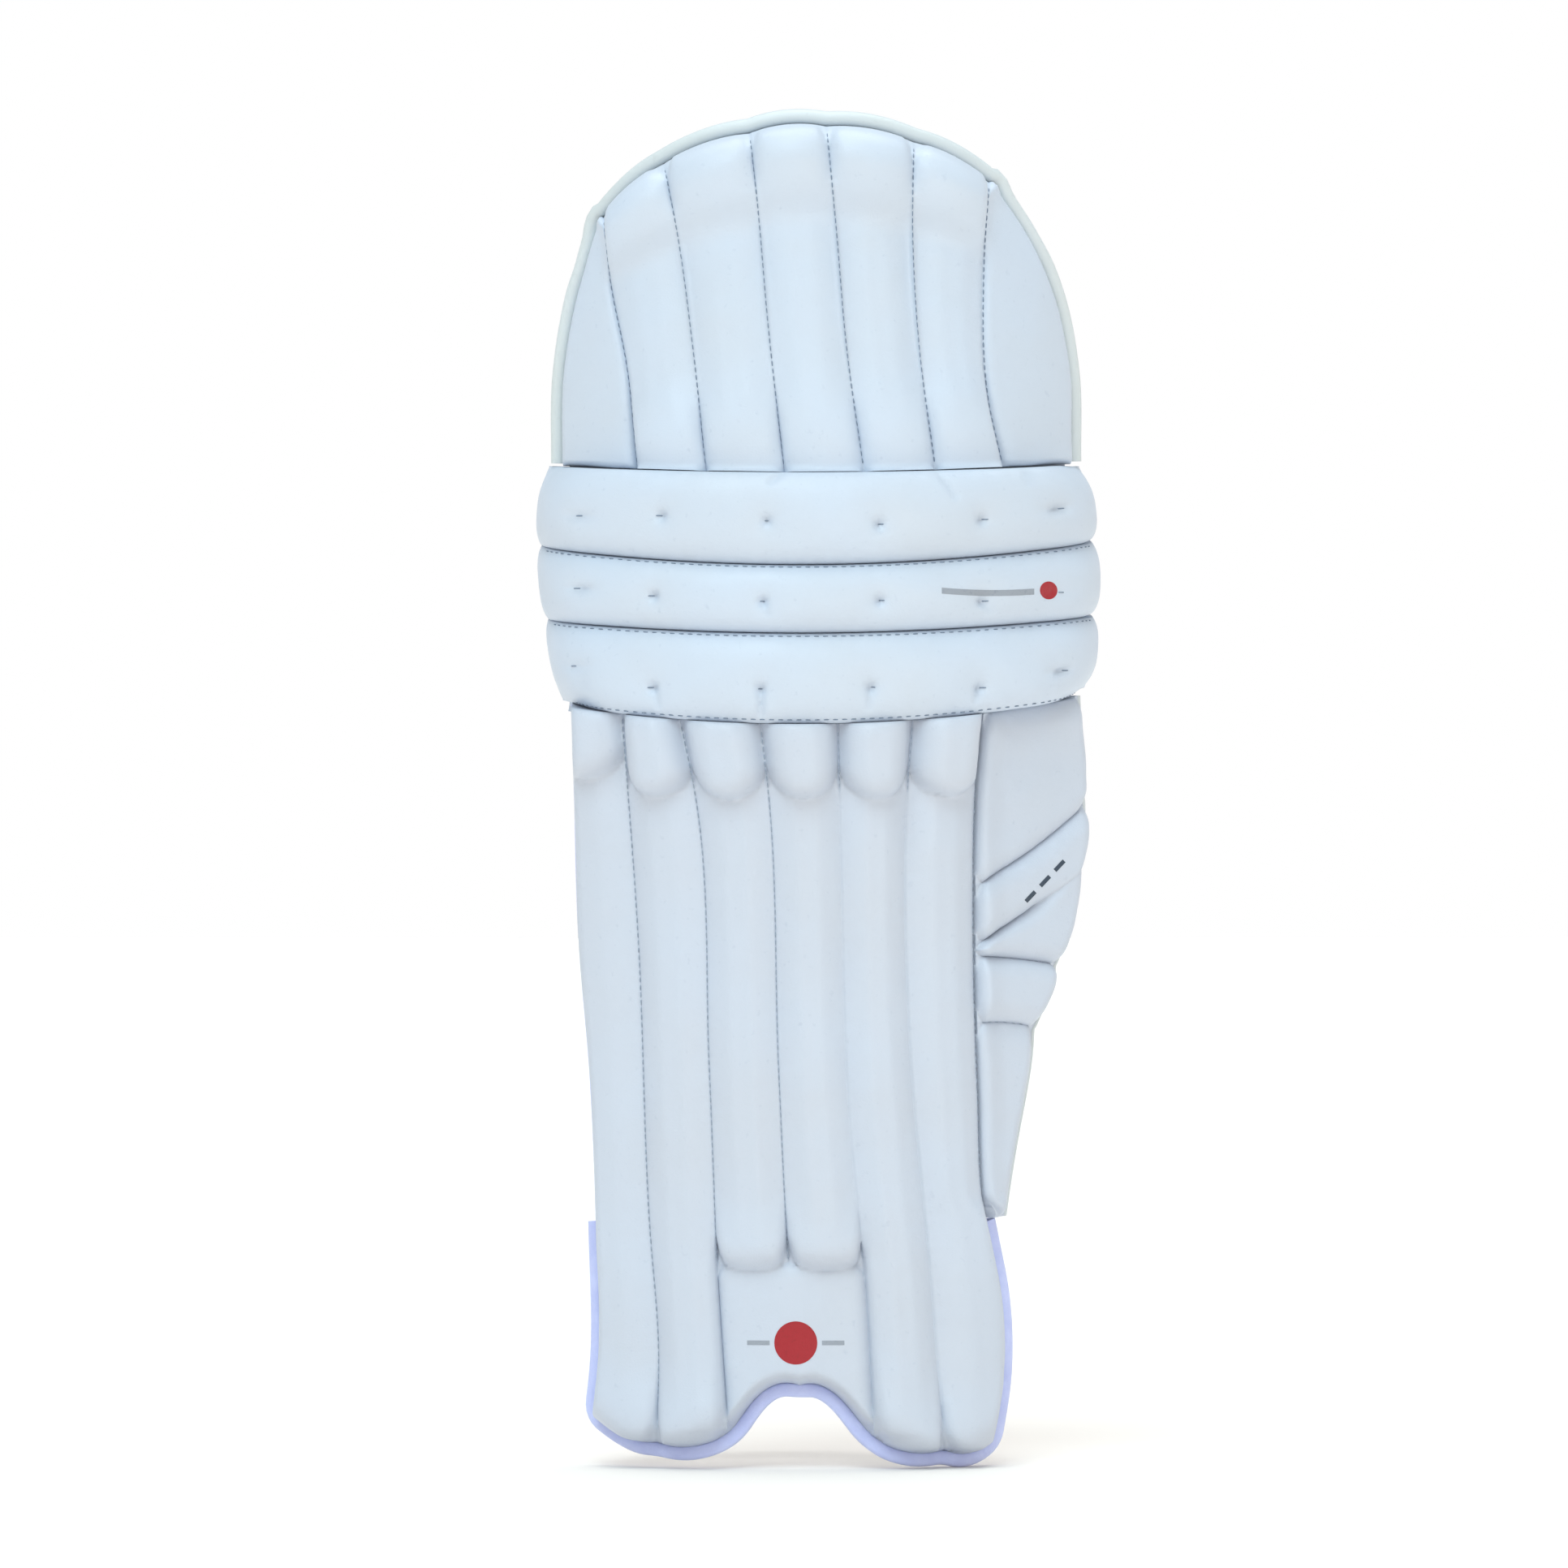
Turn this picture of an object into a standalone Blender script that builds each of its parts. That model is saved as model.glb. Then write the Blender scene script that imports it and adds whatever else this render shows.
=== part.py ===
"""Cricket batting leg pad for a left leg, modelled as its separate sewn and stuffed pieces.

Frame: origin on the axis of the wearer's shin, level with the pad's lowest edge; +Z runs up
the leg, the front of the pad faces -Y, and the side wing is at +X. Sizes are in metres.

Most pieces lie on one curved sheet, the front face of the back panels. A place on it is a
sideways distance x and a height z, and every layer of the pad is an offset from it: batons,
rolls and facings in front, linings and cushions behind.
"""
import math

import bmesh
import bpy
import numpy as np
from mathutils import Vector

# The curved sheet
PAD_RADIUS = 0.165          # bend of the pad around the shin, seen from above
FRONT_Y = -0.086            # foremost line of the sheet
FOOT_FLARE = 0.012          # how far the foot end leans forward
FLARE_HEIGHT = 0.10         # below this height the foot end leans forward
TOP_LEAN = 0.016            # how far the top flap leans back
LEAN_HEIGHT = 0.54          # above this height the top flap leans back
PAD_HEIGHT = 0.728
WING_X = 0.0985             # the wing's fold line
WING_RADIUS = 0.50          # the wing is flatter than the pad

# Layers, as offsets from the sheet
SEAM_RISE = 0.0036          # outer surface at a sewn seam
FACING = 0.0012             # outer leather skin
PADDING_START = 0.0008      # back of every baton
PADDING_TOP = 0.0023        # distance from the outer surface down to the padding
PADDING_RIM = 0.0010        # thickness of the padding along its own edge
BACKING = 0.0025
LINING_FRONT = 0.0033
LINING_BACK = 0.0048
CUSHION_START = 0.0057
KNEE_CUSHION_START = 0.0042
BODY_GAP = 0.0012           # between two pieces that move apart
EDGE_GAP = 0.0004           # between a binding and the edge it holds
FACING_MARGIN = 0.0007      # from a shared seam to each facing sewn into it

# Bulges of the stuffed pieces above their seams
TOP_BATON = 0.020
SHIN_BATON = 0.022
SHIN_HEAD = 0.011
KNEE_ROLL = 0.038
WING_PAD = 0.011
INSTEP_PAD = 0.011
SHIN_CUSHION = 0.017
KNEE_CUSHION = 0.015

PIPING_RADIUS = 0.0034
BINDING_WIDTH = 0.0056
BINDING_FRONT = 0.0042
BINDING_BACK = -0.0030
BINDING_ROWS = 6            # it climbs this many rows of the outer batons

# Knee seams: (height in the middle, how fast they rise towards the sides)
KNEE_SEAMS = ((0.3970, 0.84), (0.4455, 0.54), (0.4820, 0.73), (0.5315, 0.35))
KNEE_ROLLS = (
    ("lower", -0.130, 0.1515),
    ("middle", -0.134, 0.1525),
    ("upper", -0.133, 0.1510),
)

# Straps
STRAP_THICKNESS = 0.0024
HOOK_THICKNESS = 0.0012
STRAP_WIDTH = 0.036
STRAP_TAB_X = 0.086
STRAP_OFFSET = -0.0066      # strap roots lie behind the lining
STAND_OFF = 0.004           # the tab reaches this much further out than its root
TAB_START = math.radians(4.5)       # angles about the sewn end, from the tab's root
TAB_END = math.radians(20)
STRAP_END = math.radians(6.5)
# (share of the anchor's x, y) of the strap's route, from its sewn end to behind the calf
STRAP_ROUTE = ((1.0, -0.012), (0.945, 0.020), (0.72, 0.050), (0.36, 0.070), (0.0, 0.077))
STRAP_ROUTE_RIGHT = ((0.036, 0.070), (0.066, 0.047))
# (name, height, x of the sewn end)
STRAPS = (("ankle", 0.090, -0.106), ("calf", 0.240, -0.106), ("knee", 0.427, -0.124))

# Cross-sections of one stuffed channel: (place between its seams, share of the bulge)
BATON_SECTION = ((0.0, 0.0), (0.12, 0.70), (0.30, 0.97), (0.70, 0.97), (0.88, 0.70), (1.0, 0.0))
ROLL_SECTION = ((0.0, 0.0), (0.08, 0.45), (0.22, 0.80), (0.50, 1.0), (0.78, 0.80), (0.92, 0.45),
                (1.0, 0.0))
ROLL_ENDS = ((0.0, 0.0), (0.03, 0.45), (0.09, 0.80), (0.18, 0.98), (0.29, 1.0), (0.40, 1.0),
             (0.50, 1.0), (0.60, 1.0), (0.71, 1.0), (0.82, 0.98), (0.91, 0.80), (0.97, 0.45),
             (1.0, 0.0))
PILLOW_SECTION = ((0.0, 0.15), (0.15, 0.80), (0.5, 1.0), (0.85, 0.80), (1.0, 0.15))

# Lengthwise sections of the batons: (share of the length from the low end, share of the bulge)
TOP_LENGTH = ((0.0, 0.0), (0.05, 0.90), (0.14, 1.10), (0.30, 0.92), (0.50, 0.90), (0.72, 0.92),
              (0.84, 1.20), (0.93, 1.05), (1.0, 0.0))
SIDE_LENGTH = ((0.0, 0.0), (0.02, 0.65), (0.05, 1.15), (0.09, 1.15), (0.15, 1.0), (0.27, 1.0),
               (0.40, 1.0), (0.55, 1.0), (0.70, 1.0), (0.855, 1.0), (0.885, 1.0), (0.93, 0.95),
               (1.0, 0.80))
MIDDLE_LENGTH = ((0.0, 0.0), (0.03, 0.75), (0.08, 1.20), (0.17, 1.20), (0.24, 1.0), (0.40, 1.0),
                 (0.60, 1.0), (0.83, 1.0), (0.86, 1.0), (0.91, 0.95), (1.0, 0.80))
SIDE_HEAD = ((0.0, 0.0), (0.855, 0.0), (0.885, 0.65), (0.93, 1.0), (1.0, 1.0))
MIDDLE_HEAD = ((0.0, 0.0), (0.83, 0.0), (0.86, 0.65), (0.91, 1.0), (1.0, 1.0))
INSTEP_LENGTH = ((0.0, 0.0), (0.12, 0.80), (0.30, 1.0), (0.65, 1.0), (0.88, 0.80), (1.0, 0.0))

# Seams of the top flap, left to right: (height, x) from the knee seam to the piping
TOP_SEAMS = (
    ((0.5380, -0.1285), (0.5860, -0.1280), (0.6250, -0.1200), (0.6480, -0.1130), (0.6620, -0.1090)),
    ((0.5350, -0.0850), (0.5910, -0.0910), (0.6320, -0.0990), (0.6690, -0.1045)),
    ((0.5335, -0.0490), (0.5990, -0.0560), (0.6530, -0.0630), (0.6960, -0.0705)),
    ((0.5328, -0.0080), (0.6110, -0.0165), (0.6750, -0.0220), (0.7125, -0.0263)),
    ((0.5332, 0.0335), (0.5990, 0.0245), (0.6610, 0.0193), (0.7185, 0.0140)),
    ((0.5345, 0.0710), (0.5990, 0.0626), (0.6600, 0.0592), (0.7105, 0.0599)),
    ((0.5370, 0.1065), (0.5700, 0.0993), (0.6400, 0.0967), (0.6900, 0.0998)),
    ((0.5405, 0.1465), (0.5900, 0.1455), (0.6300, 0.1375), (0.6600, 0.1250), (0.6840, 0.1080)),
)
TOP_SHARES = (0.40, 1.0, 1.0, 1.0, 1.0, 1.0, 0.40)      # bulge of each channel of the flap
TOP_CROWN = 0.003                                       # the flap's edge swells over each baton

# Seams of the shin, left to right: (height, x) from the foot end upwards
SHIN_SEAMS = (
    ((0.0262, -0.1065), (0.0520, -0.1040), (0.1200, -0.1065), (0.2070, -0.1100), (0.2800, -0.1160),
     (0.3600, -0.1185), (0.4100, -0.1200)),
    ((0.0114, -0.0748), (0.0620, -0.0740), (0.1290, -0.0788), (0.2840, -0.0849), (0.4050, -0.0936)),
    ((0.0175, -0.0372), (0.1050, -0.0429), (0.2120, -0.0473), (0.3590, -0.0547), (0.4010, -0.0630)),
    ((0.0425, 0.0000), (0.1037, -0.0053), (0.2120, -0.0109), (0.3590, -0.0162), (0.3975, -0.0206)),
    ((0.0153, 0.0390), (0.1020, 0.0341), (0.1870, 0.0263), (0.3260, 0.0219), (0.3975, 0.0201)),
    ((0.0074, 0.0761), (0.1033, 0.0687), (0.2290, 0.0578), (0.3650, 0.0569), (0.4000, 0.0595)),
    ((0.0125, 0.1005), (0.0450, 0.1055), (0.0900, 0.1050), (0.1160, 0.1010), (0.1350, 0.0972),
     (0.2000, 0.0935), (0.2900, 0.0912), (0.3700, 0.0928), (0.4050, 0.0958)),
)
FOOT_CROWN = -0.005         # the foot end's edge swells over each baton
INSTEP_CROWN = 0.006        # and arches over the instep
MIDDLE_FOOT = 0.1045        # height at which the two middle batons stop
INSTEP_TOP = 0.1030

# Wing: heights of its seams at the fold line and at the outer edge, and its outer edge
WING_SEAMS = ((0.1305, 0.1320), (0.2365, 0.2320), (0.2725, 0.2660), (0.2785, 0.3280),
              (0.3100, 0.3600), (0.4030, 0.4080))
WING_EDGE = ((0.1320, 0.1085), (0.1750, 0.1145), (0.2180, 0.1215), (0.2320, 0.1235),
             (0.2560, 0.1320), (0.2850, 0.1405), (0.3280, 0.1475), (0.3600, 0.1505),
             (0.4080, 0.1495))
WING_SHARES = (1.0, 1.15, 1.0, 1.15, 1.0)

LEATHER = "pu_leather"
FOAM = "foam"
WHITE_FABRIC = "backing_fabric"
MESH_FABRIC = "lining_fabric"
CUSHION_FABRIC = "cushion_fabric"
PIPING = "piping_leather"
BINDING = "binding_suede"
WEBBING = "strap_webbing"
LOOP = "loop_pile"
HOOK = "hook_tape"
# name: (red, green, blue, roughness)
MATERIALS = {
    LEATHER: (0.78, 0.84, 0.87, 0.42),
    FOAM: (0.80, 0.80, 0.74, 0.90),
    WHITE_FABRIC: (0.80, 0.82, 0.84, 0.80),
    MESH_FABRIC: (0.70, 0.73, 0.78, 0.85),
    CUSHION_FABRIC: (0.84, 0.85, 0.86, 0.75),
    PIPING: (0.82, 0.85, 0.84, 0.45),
    BINDING: (0.58, 0.62, 0.92, 0.90),
    WEBBING: (0.86, 0.87, 0.88, 0.80),
    LOOP: (0.78, 0.79, 0.81, 0.95),
    HOOK: (0.62, 0.63, 0.66, 0.60),
}


def clear_scene():
    for item in list(bpy.data.objects):
        bpy.data.objects.remove(item, do_unlink=True)


def get_material(name):
    """Return the named material, made on first use."""
    if name in bpy.data.materials:
        return bpy.data.materials[name]
    red, green, blue, roughness = MATERIALS[name]
    material = bpy.data.materials.new(name)
    material.use_nodes = True
    shader = material.node_tree.nodes["Principled BSDF"]
    shader.inputs["Base Color"].default_value = (red, green, blue, 1.0)
    shader.inputs["Roughness"].default_value = roughness
    shader.inputs["Metallic"].default_value = 0.0
    return material


def mix(start, end, share):
    return start + (end - start) * share


def read_section(section, place):
    """Straight-line value of a list of (place, value) points."""
    places, values = zip(*section)
    return float(np.interp(place, places, values))


def smooth_curve(points):
    """Return a smooth function through the (place, value) points."""
    places, values = np.array(points, dtype=float).T
    slopes = np.gradient(values, places)

    def value_at(place):
        place = min(max(place, places[0]), places[-1])
        first = min(int(np.searchsorted(places, place, side="right")) - 1, len(places) - 2)
        span = places[first + 1] - places[first]
        share = (place - places[first]) / span
        start = values[first] * (1 + 2 * share) * (1 - share) ** 2
        start += slopes[first] * span * share * (1 - share) ** 2
        end = values[first + 1] * share ** 2 * (3 - 2 * share)
        end += slopes[first + 1] * span * share ** 2 * (share - 1)
        return float(start + end)

    return value_at


def front_line(height):
    """Foremost y of the curved sheet at a height."""
    flare = max(0.0, 1 - height / FLARE_HEIGHT)
    lean = max(0.0, (height - LEAN_HEIGHT) / (PAD_HEIGHT - LEAN_HEIGHT))
    return FRONT_Y - FOOT_FLARE * flare ** 2 + TOP_LEAN * lean ** 2


def on_pad(x, height, offset):
    """Point in front of (offset above 0) or behind the curved sheet."""
    sine = x / PAD_RADIUS
    cosine = math.sqrt(1 - sine ** 2)
    y = front_line(height) + PAD_RADIUS * (1 - cosine)
    return Vector((x + offset * sine, y - offset * cosine, height))


def on_wing(x, height, offset):
    """The same for the wing, which leaves the pad in line with it and is flatter."""
    fold_sine = WING_X / PAD_RADIUS
    fold_cosine = math.sqrt(1 - fold_sine ** 2)
    fold_y = FRONT_Y + PAD_RADIUS * (1 - fold_cosine)
    sine = fold_sine + (x - WING_X) / WING_RADIUS
    cosine = math.sqrt(1 - sine ** 2)
    y = fold_y + WING_RADIUS * (fold_cosine - cosine)
    return Vector((x + offset * sine, y - offset * cosine, height))


def link_object(name, data, material):
    item = bpy.data.objects.new(name, data)
    bpy.context.scene.collection.objects.link(item)
    data.materials.append(get_material(material))
    return item


def make_layer(name, material, columns, rows, front, back):
    """Closed solid between two surfaces, each a function of a column and a row value."""
    shell = bmesh.new()
    bmesh.ops.create_grid(shell, x_segments=len(columns) - 1, y_segments=len(rows) - 1, size=1.0)
    shell.verts.ensure_lookup_table()
    for index, vert in enumerate(shell.verts):
        vert.co = (columns[index % len(columns)], rows[index // len(columns)], 0.0)
    bmesh.ops.triangulate(shell, faces=shell.faces[:], quad_method="FIXED")
    result = bmesh.ops.extrude_face_region(shell, geom=shell.faces[:])
    for element in result["geom"]:
        if isinstance(element, bmesh.types.BMVert):
            element.co.z = 1.0
    for vert in shell.verts:
        surface = back if vert.co.z > 0.5 else front
        vert.co = surface(vert.co.x, vert.co.y)
    bmesh.ops.recalc_face_normals(shell, faces=shell.faces[:])
    mesh = bpy.data.meshes.new(name)
    shell.to_mesh(mesh)
    shell.free()
    mesh.shade_smooth()
    mesh.set_sharp_from_angle(angle=math.radians(50))
    return link_object(name, mesh, material)


def make_padding(name, columns, rows, place, rise, base=lambda u, v: PADDING_START):
    """Foam between a base and a facing, thinning to a low rim along its own edge.

    place is a function of u, v and an offset; rise and base are offsets over u and v.
    """
    tolerance = 0.0001

    def front(u, v):
        inside_columns = columns[0] + tolerance < u < columns[-1] - tolerance
        inside_rows = rows[0] + tolerance < v < rows[-1] - tolerance
        if inside_columns and inside_rows:
            return place(u, v, rise(u, v) - PADDING_TOP)
        return place(u, v, base(u, v) + PADDING_RIM)

    return make_layer(name, FOAM, columns, rows, front, lambda u, v: place(u, v, base(u, v)))


class Panel:
    """A sewn panel of channels side by side, each between two neighbouring seams.

    Its u runs across, one unit to each channel, and its v runs up from 0 to 1.
    """

    def __init__(self, seams, bulges, low=None, high=None, low_crown=0.0, high_crown=0.0):
        self.curves = [smooth_curve(seam) for seam in seams]
        self.lows = [low or seam[0][0] for seam in seams]
        self.highs = [high or seam[-1][0] for seam in seams]
        self.margins = [FACING_MARGIN] + [0.0] * (len(seams) - 2) + [-FACING_MARGIN]
        self.bulges = bulges
        channels = len(seams) - 1
        self.low_crowns = low_crown if isinstance(low_crown, list) else [low_crown] * channels
        self.high_crown = high_crown

    def where(self, u, v):
        """Sideways place and height of a point of the panel."""
        channel = min(int(u), len(self.curves) - 2)
        share = u - channel
        places = []
        for seam in (channel, channel + 1):
            height = mix(self.lows[seam], self.highs[seam], v)
            places.append((self.curves[seam](height) + self.margins[seam], height))
        swell = 4 * share * (1 - share)
        crown = swell * (self.low_crowns[channel] * (1 - v) ** 6 + self.high_crown * v ** 6)
        x = mix(places[0][0], places[1][0], share)
        return x, mix(places[0][1], places[1][1], share) + crown

    def rise(self, u, v):
        """Height of the outer surface above the sheet."""
        channel = min(int(u), len(self.curves) - 2)
        section = read_section(BATON_SECTION, u - channel)
        return SEAM_RISE + section * self.bulges[channel](v)

    def point(self, u, v, offset):
        x, height = self.where(u, v)
        return on_pad(x, height, offset)

    def surface(self, offset):
        """Surface at an offset, which is a number or a function of u and v."""
        return lambda u, v: self.point(u, v, offset(u, v) if callable(offset) else offset)

    def columns(self):
        """Column values that follow the section of every channel."""
        values = []
        for channel in range(len(self.curves) - 1):
            values += [channel + place for place, _ in BATON_SECTION[:-1]]
        return values + [len(self.curves) - 1]


def inset(places, amount):
    """The same places with the first and last moved inwards."""
    return [places[0] + amount] + list(places[1:-1]) + [places[-1] - amount]


def make_facing(name, panel, rows, rise=None):
    """Thin outer skin that follows the bulges of a panel."""
    rise = rise or panel.rise
    front = panel.surface(rise)
    back = panel.surface(lambda u, v: rise(u, v) - FACING)
    return make_layer(name, LEATHER, panel.columns(), rows, front, back)


def make_baton(name, panel, channel, rows):
    """Foam core of one channel, inside its seams."""
    columns = [channel + place for place, _ in BATON_SECTION]
    return make_padding(name, inset(columns, 0.05), rows, panel.point, panel.rise)


def places_of(section):
    return [place for place, _ in section]


# ---------------------------------------------------------------- top flap

def flap_panel():
    def channel_bulge(share):
        return lambda v: share * TOP_BATON * read_section(TOP_LENGTH, v)
    return Panel(TOP_SEAMS, [channel_bulge(share) for share in TOP_SHARES],
                 high_crown=TOP_CROWN)


def make_top_flap():
    panel = flap_panel()
    rows = places_of(TOP_LENGTH)
    padding_rows = inset(rows, 0.03)
    names = ["top_flap_pad_left"]
    names += [f"top_flap_baton_{number}" for number in range(1, 6)]
    names += ["top_flap_pad_right"]
    make_facing("top_flap_facing", panel, rows)
    for channel, name in enumerate(names):
        make_baton(name, panel, channel, padding_rows)
    half_channels = [half / 2 for half in range(15)]
    make_layer("top_flap_backing", WHITE_FABRIC, inset(half_channels, 0.03), inset(rows, 0.004),
               panel.surface(0.0), panel.surface(-BACKING))
    make_piping(panel)


def outward_path(points, distance):
    """Move a path of (x, height) points sideways on the sheet, to its left as it is walked."""
    flat = [(PAD_RADIUS * math.asin(x / PAD_RADIUS), height) for x, height in points]
    moved = []
    for index, (along, height) in enumerate(flat):
        before = flat[max(index - 1, 0)]
        after = flat[min(index + 1, len(flat) - 1)]
        length = math.hypot(after[0] - before[0], after[1] - before[1])
        along -= (after[1] - before[1]) / length * distance
        height += (after[0] - before[0]) / length * distance
        moved.append((PAD_RADIUS * math.sin(along / PAD_RADIUS), height))
    return moved


def make_piping(panel):
    """Round leather piping over the top flap's edge."""
    last = len(TOP_SEAMS) - 1
    side = [step / 8 for step in range(9)]
    edge = [panel.where(0, v) for v in side[:-1]]
    edge += [panel.where(step / 4, 1.0) for step in range(1, 4 * last)]
    edge += [panel.where(last, v) for v in reversed(side[:-1])]
    path = outward_path(edge, PIPING_RADIUS + EDGE_GAP)
    curve = bpy.data.curves.new("top_flap_piping", "CURVE")
    curve.dimensions = "3D"
    curve.bevel_depth = PIPING_RADIUS
    curve.bevel_resolution = 2
    curve.use_fill_caps = True
    spline = curve.splines.new("POLY")
    spline.points.add(len(path) - 1)
    for point, (x, height) in zip(spline.points, path):
        point.co = (*on_pad(x, height, 0.0005), 1.0)
    link_object("top_flap_piping", curve, PIPING)


# ---------------------------------------------------------------- knee rolls

def knee_place(number, u, v, margin=BODY_GAP / 2):
    """Sideways place and height on a knee roll, counted from the lowest."""
    _, left, right = KNEE_ROLLS[number]
    x = mix(left, right, u)
    low_middle, low_sweep = KNEE_SEAMS[number]
    high_middle, high_sweep = KNEE_SEAMS[number + 1]
    low = low_middle + low_sweep * x ** 2 + margin
    high = high_middle + high_sweep * x ** 2 - margin
    return x, mix(low, high, v)


def make_knee_roll(number):
    label = KNEE_ROLLS[number][0]
    columns = places_of(ROLL_ENDS)
    rows = places_of(ROLL_SECTION)

    def point(u, v, offset):
        x, height = knee_place(number, u, v)
        return on_pad(x, height, offset)

    def rise(u, v):
        return SEAM_RISE + KNEE_ROLL * read_section(ROLL_SECTION, v) * read_section(ROLL_ENDS, u)

    make_layer(f"knee_roll_{label}_cover", LEATHER, columns, rows,
               lambda u, v: point(u, v, rise(u, v)),
               lambda u, v: point(u, v, rise(u, v) - FACING))
    make_padding(f"knee_roll_{label}_core", inset(columns, 0.012), inset(rows, 0.03), point, rise)
    make_layer(f"knee_roll_{label}_backing", WHITE_FABRIC, columns, [0.0, 0.5, 1.0],
               lambda u, v: point(u, v, 0.0), lambda u, v: point(u, v, -BACKING))
    make_knee_cushion(number, label)


def make_knee_cushion(number, label):
    """Soft cushion behind a roll, hollow in the middle where the kneecap sits."""
    half_width = 0.075
    margin = 0.005
    columns = [0.0, 0.08, 0.22, 0.38, 0.50, 0.62, 0.78, 0.92, 1.0]
    cup = (1.0, 0.55)

    def place(u, v):
        x = mix(-half_width, half_width, u)
        span = KNEE_ROLLS[number][2] - KNEE_ROLLS[number][1]
        return knee_place(number, (x - KNEE_ROLLS[number][1]) / span, v, margin)

    def depth(u, v):
        across = read_section(((0.0, 0.15), (0.08, 0.8), (0.22, cup[0]), (0.5, cup[1]),
                               (0.78, cup[0]), (0.92, 0.8), (1.0, 0.15)), u)
        return CUSHION_START + KNEE_CUSHION * across * read_section(PILLOW_SECTION, v)

    make_layer(f"knee_cushion_{label}", CUSHION_FABRIC, columns, places_of(PILLOW_SECTION),
               lambda u, v: on_pad(*place(u, v), -KNEE_CUSHION_START),
               lambda u, v: on_pad(*place(u, v), -depth(u, v)))


# ---------------------------------------------------------------- shin

def knee_bottom(x):
    """Height at which the shin pieces end under the lowest knee roll."""
    middle, sweep = KNEE_SEAMS[0]
    return middle + sweep * x ** 2 - BODY_GAP / 2


def shin_seams(first, last):
    """Seams of the shin with their top point moved to the lowest knee seam."""
    chosen = []
    for seam in SHIN_SEAMS[first:last + 1]:
        top_x = seam[-1][1]
        chosen.append(seam[:-1] + ((knee_bottom(top_x), top_x),))
    return chosen


def shin_bulge(section):
    return lambda v: SHIN_BATON * read_section(section, v)


def make_shin_group(label, first, last, length, head, low, crown):
    """Facing, batons and head pads of neighbouring channels of the shin."""
    channels = last - first
    panel = Panel(shin_seams(first, last), [shin_bulge(length)] * channels, low=low,
                  low_crown=crown)
    rows = places_of(length)

    def head_extra(u, v):
        section = read_section(BATON_SECTION, u - min(int(u), channels - 1))
        return SHIN_HEAD * section * read_section(head, v)

    def full_rise(u, v):
        return panel.rise(u, v) + head_extra(u, v)

    make_facing(f"shin_facing_{label}", panel, rows, full_rise)
    head_rows = inset([row for row in rows if row > head[1][0]], 0.004)
    for channel in range(channels):
        number = first + channel + 1
        make_baton(f"shin_baton_{number}", panel, channel, inset(rows, 0.01))
        columns = inset([channel + place for place, _ in BATON_SECTION], 0.07)
        make_padding(f"shin_head_pad_{number}", columns, head_rows, panel.point, full_rise,
                     lambda u, v: panel.rise(u, v) - PADDING_TOP + EDGE_GAP)
    return panel


def make_instep():
    """Low panel over the boot's tongue, under the two middle batons."""
    seams = shin_seams(2, 4)

    def bulge(v):
        return INSTEP_PAD * read_section(INSTEP_LENGTH, v)

    class InstepPanel(Panel):
        """Both halves share one bulge, so the middle line is not a seam."""

        def rise(self, u, v):
            return SEAM_RISE + read_section(BATON_SECTION, u / 2) * bulge(v)

        def columns(self):
            return [2 * place for place in (0.0, 0.12, 0.30, 0.50, 0.70, 0.88, 1.0)]

    panel = InstepPanel(seams, [bulge, bulge], high=INSTEP_TOP, low_crown=INSTEP_CROWN)
    rows = places_of(INSTEP_LENGTH)
    make_facing("instep_facing", panel, rows)
    make_padding("instep_pad", inset(panel.columns(), 0.09), inset(rows, 0.05),
                 panel.point, panel.rise)
    return panel


def make_shin_back():
    """Back panel and lining over the whole shin."""
    crowns = [FOOT_CROWN] * 2 + [INSTEP_CROWN] * 2 + [FOOT_CROWN] * 2
    panel = Panel(shin_seams(0, 6), [lambda v: 0.0] * 6, low_crown=crowns)
    columns = [0, 0.5, 1, 1.5, 2, 2.25, 2.5, 2.75, 3, 3.25, 3.5, 3.75, 4, 4.5, 5, 5.5, 6]
    rows = [0.0, 0.04, 0.10, 0.18, 0.27, 0.40, 0.55, 0.70, 0.85, 1.0]
    make_layer("shin_backing", WHITE_FABRIC, inset(columns, 0.05), inset(rows, 0.004),
               panel.surface(0.0), panel.surface(-BACKING))
    make_layer("shin_lining", MESH_FABRIC, inset(columns, 0.15), inset(rows, 0.015),
               panel.surface(-LINING_FRONT), panel.surface(-LINING_BACK))


def make_shin_cushion(label, middle):
    """Upright cushion on the lining, beside the shin bone."""
    half_width = 0.024
    low, high = 0.060, 0.375

    def surface(depth):
        def point(u, v):
            x = mix(middle - half_width, middle + half_width, u)
            return on_pad(x, mix(low, high, v), -depth(u, v))
        return point

    def back_depth(u, v):
        ends = read_section(((0.0, 0.15), (0.04, 0.8), (0.1, 1.0), (0.9, 1.0), (0.96, 0.8),
                             (1.0, 0.15)), v)
        return CUSHION_START + SHIN_CUSHION * ends * read_section(PILLOW_SECTION, u)

    make_layer(f"shin_cushion_{label}", CUSHION_FABRIC, places_of(PILLOW_SECTION),
               [0.0, 0.04, 0.1, 0.3, 0.5, 0.7, 0.9, 0.96, 1.0],
               surface(lambda u, v: CUSHION_START), surface(back_depth))


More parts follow.
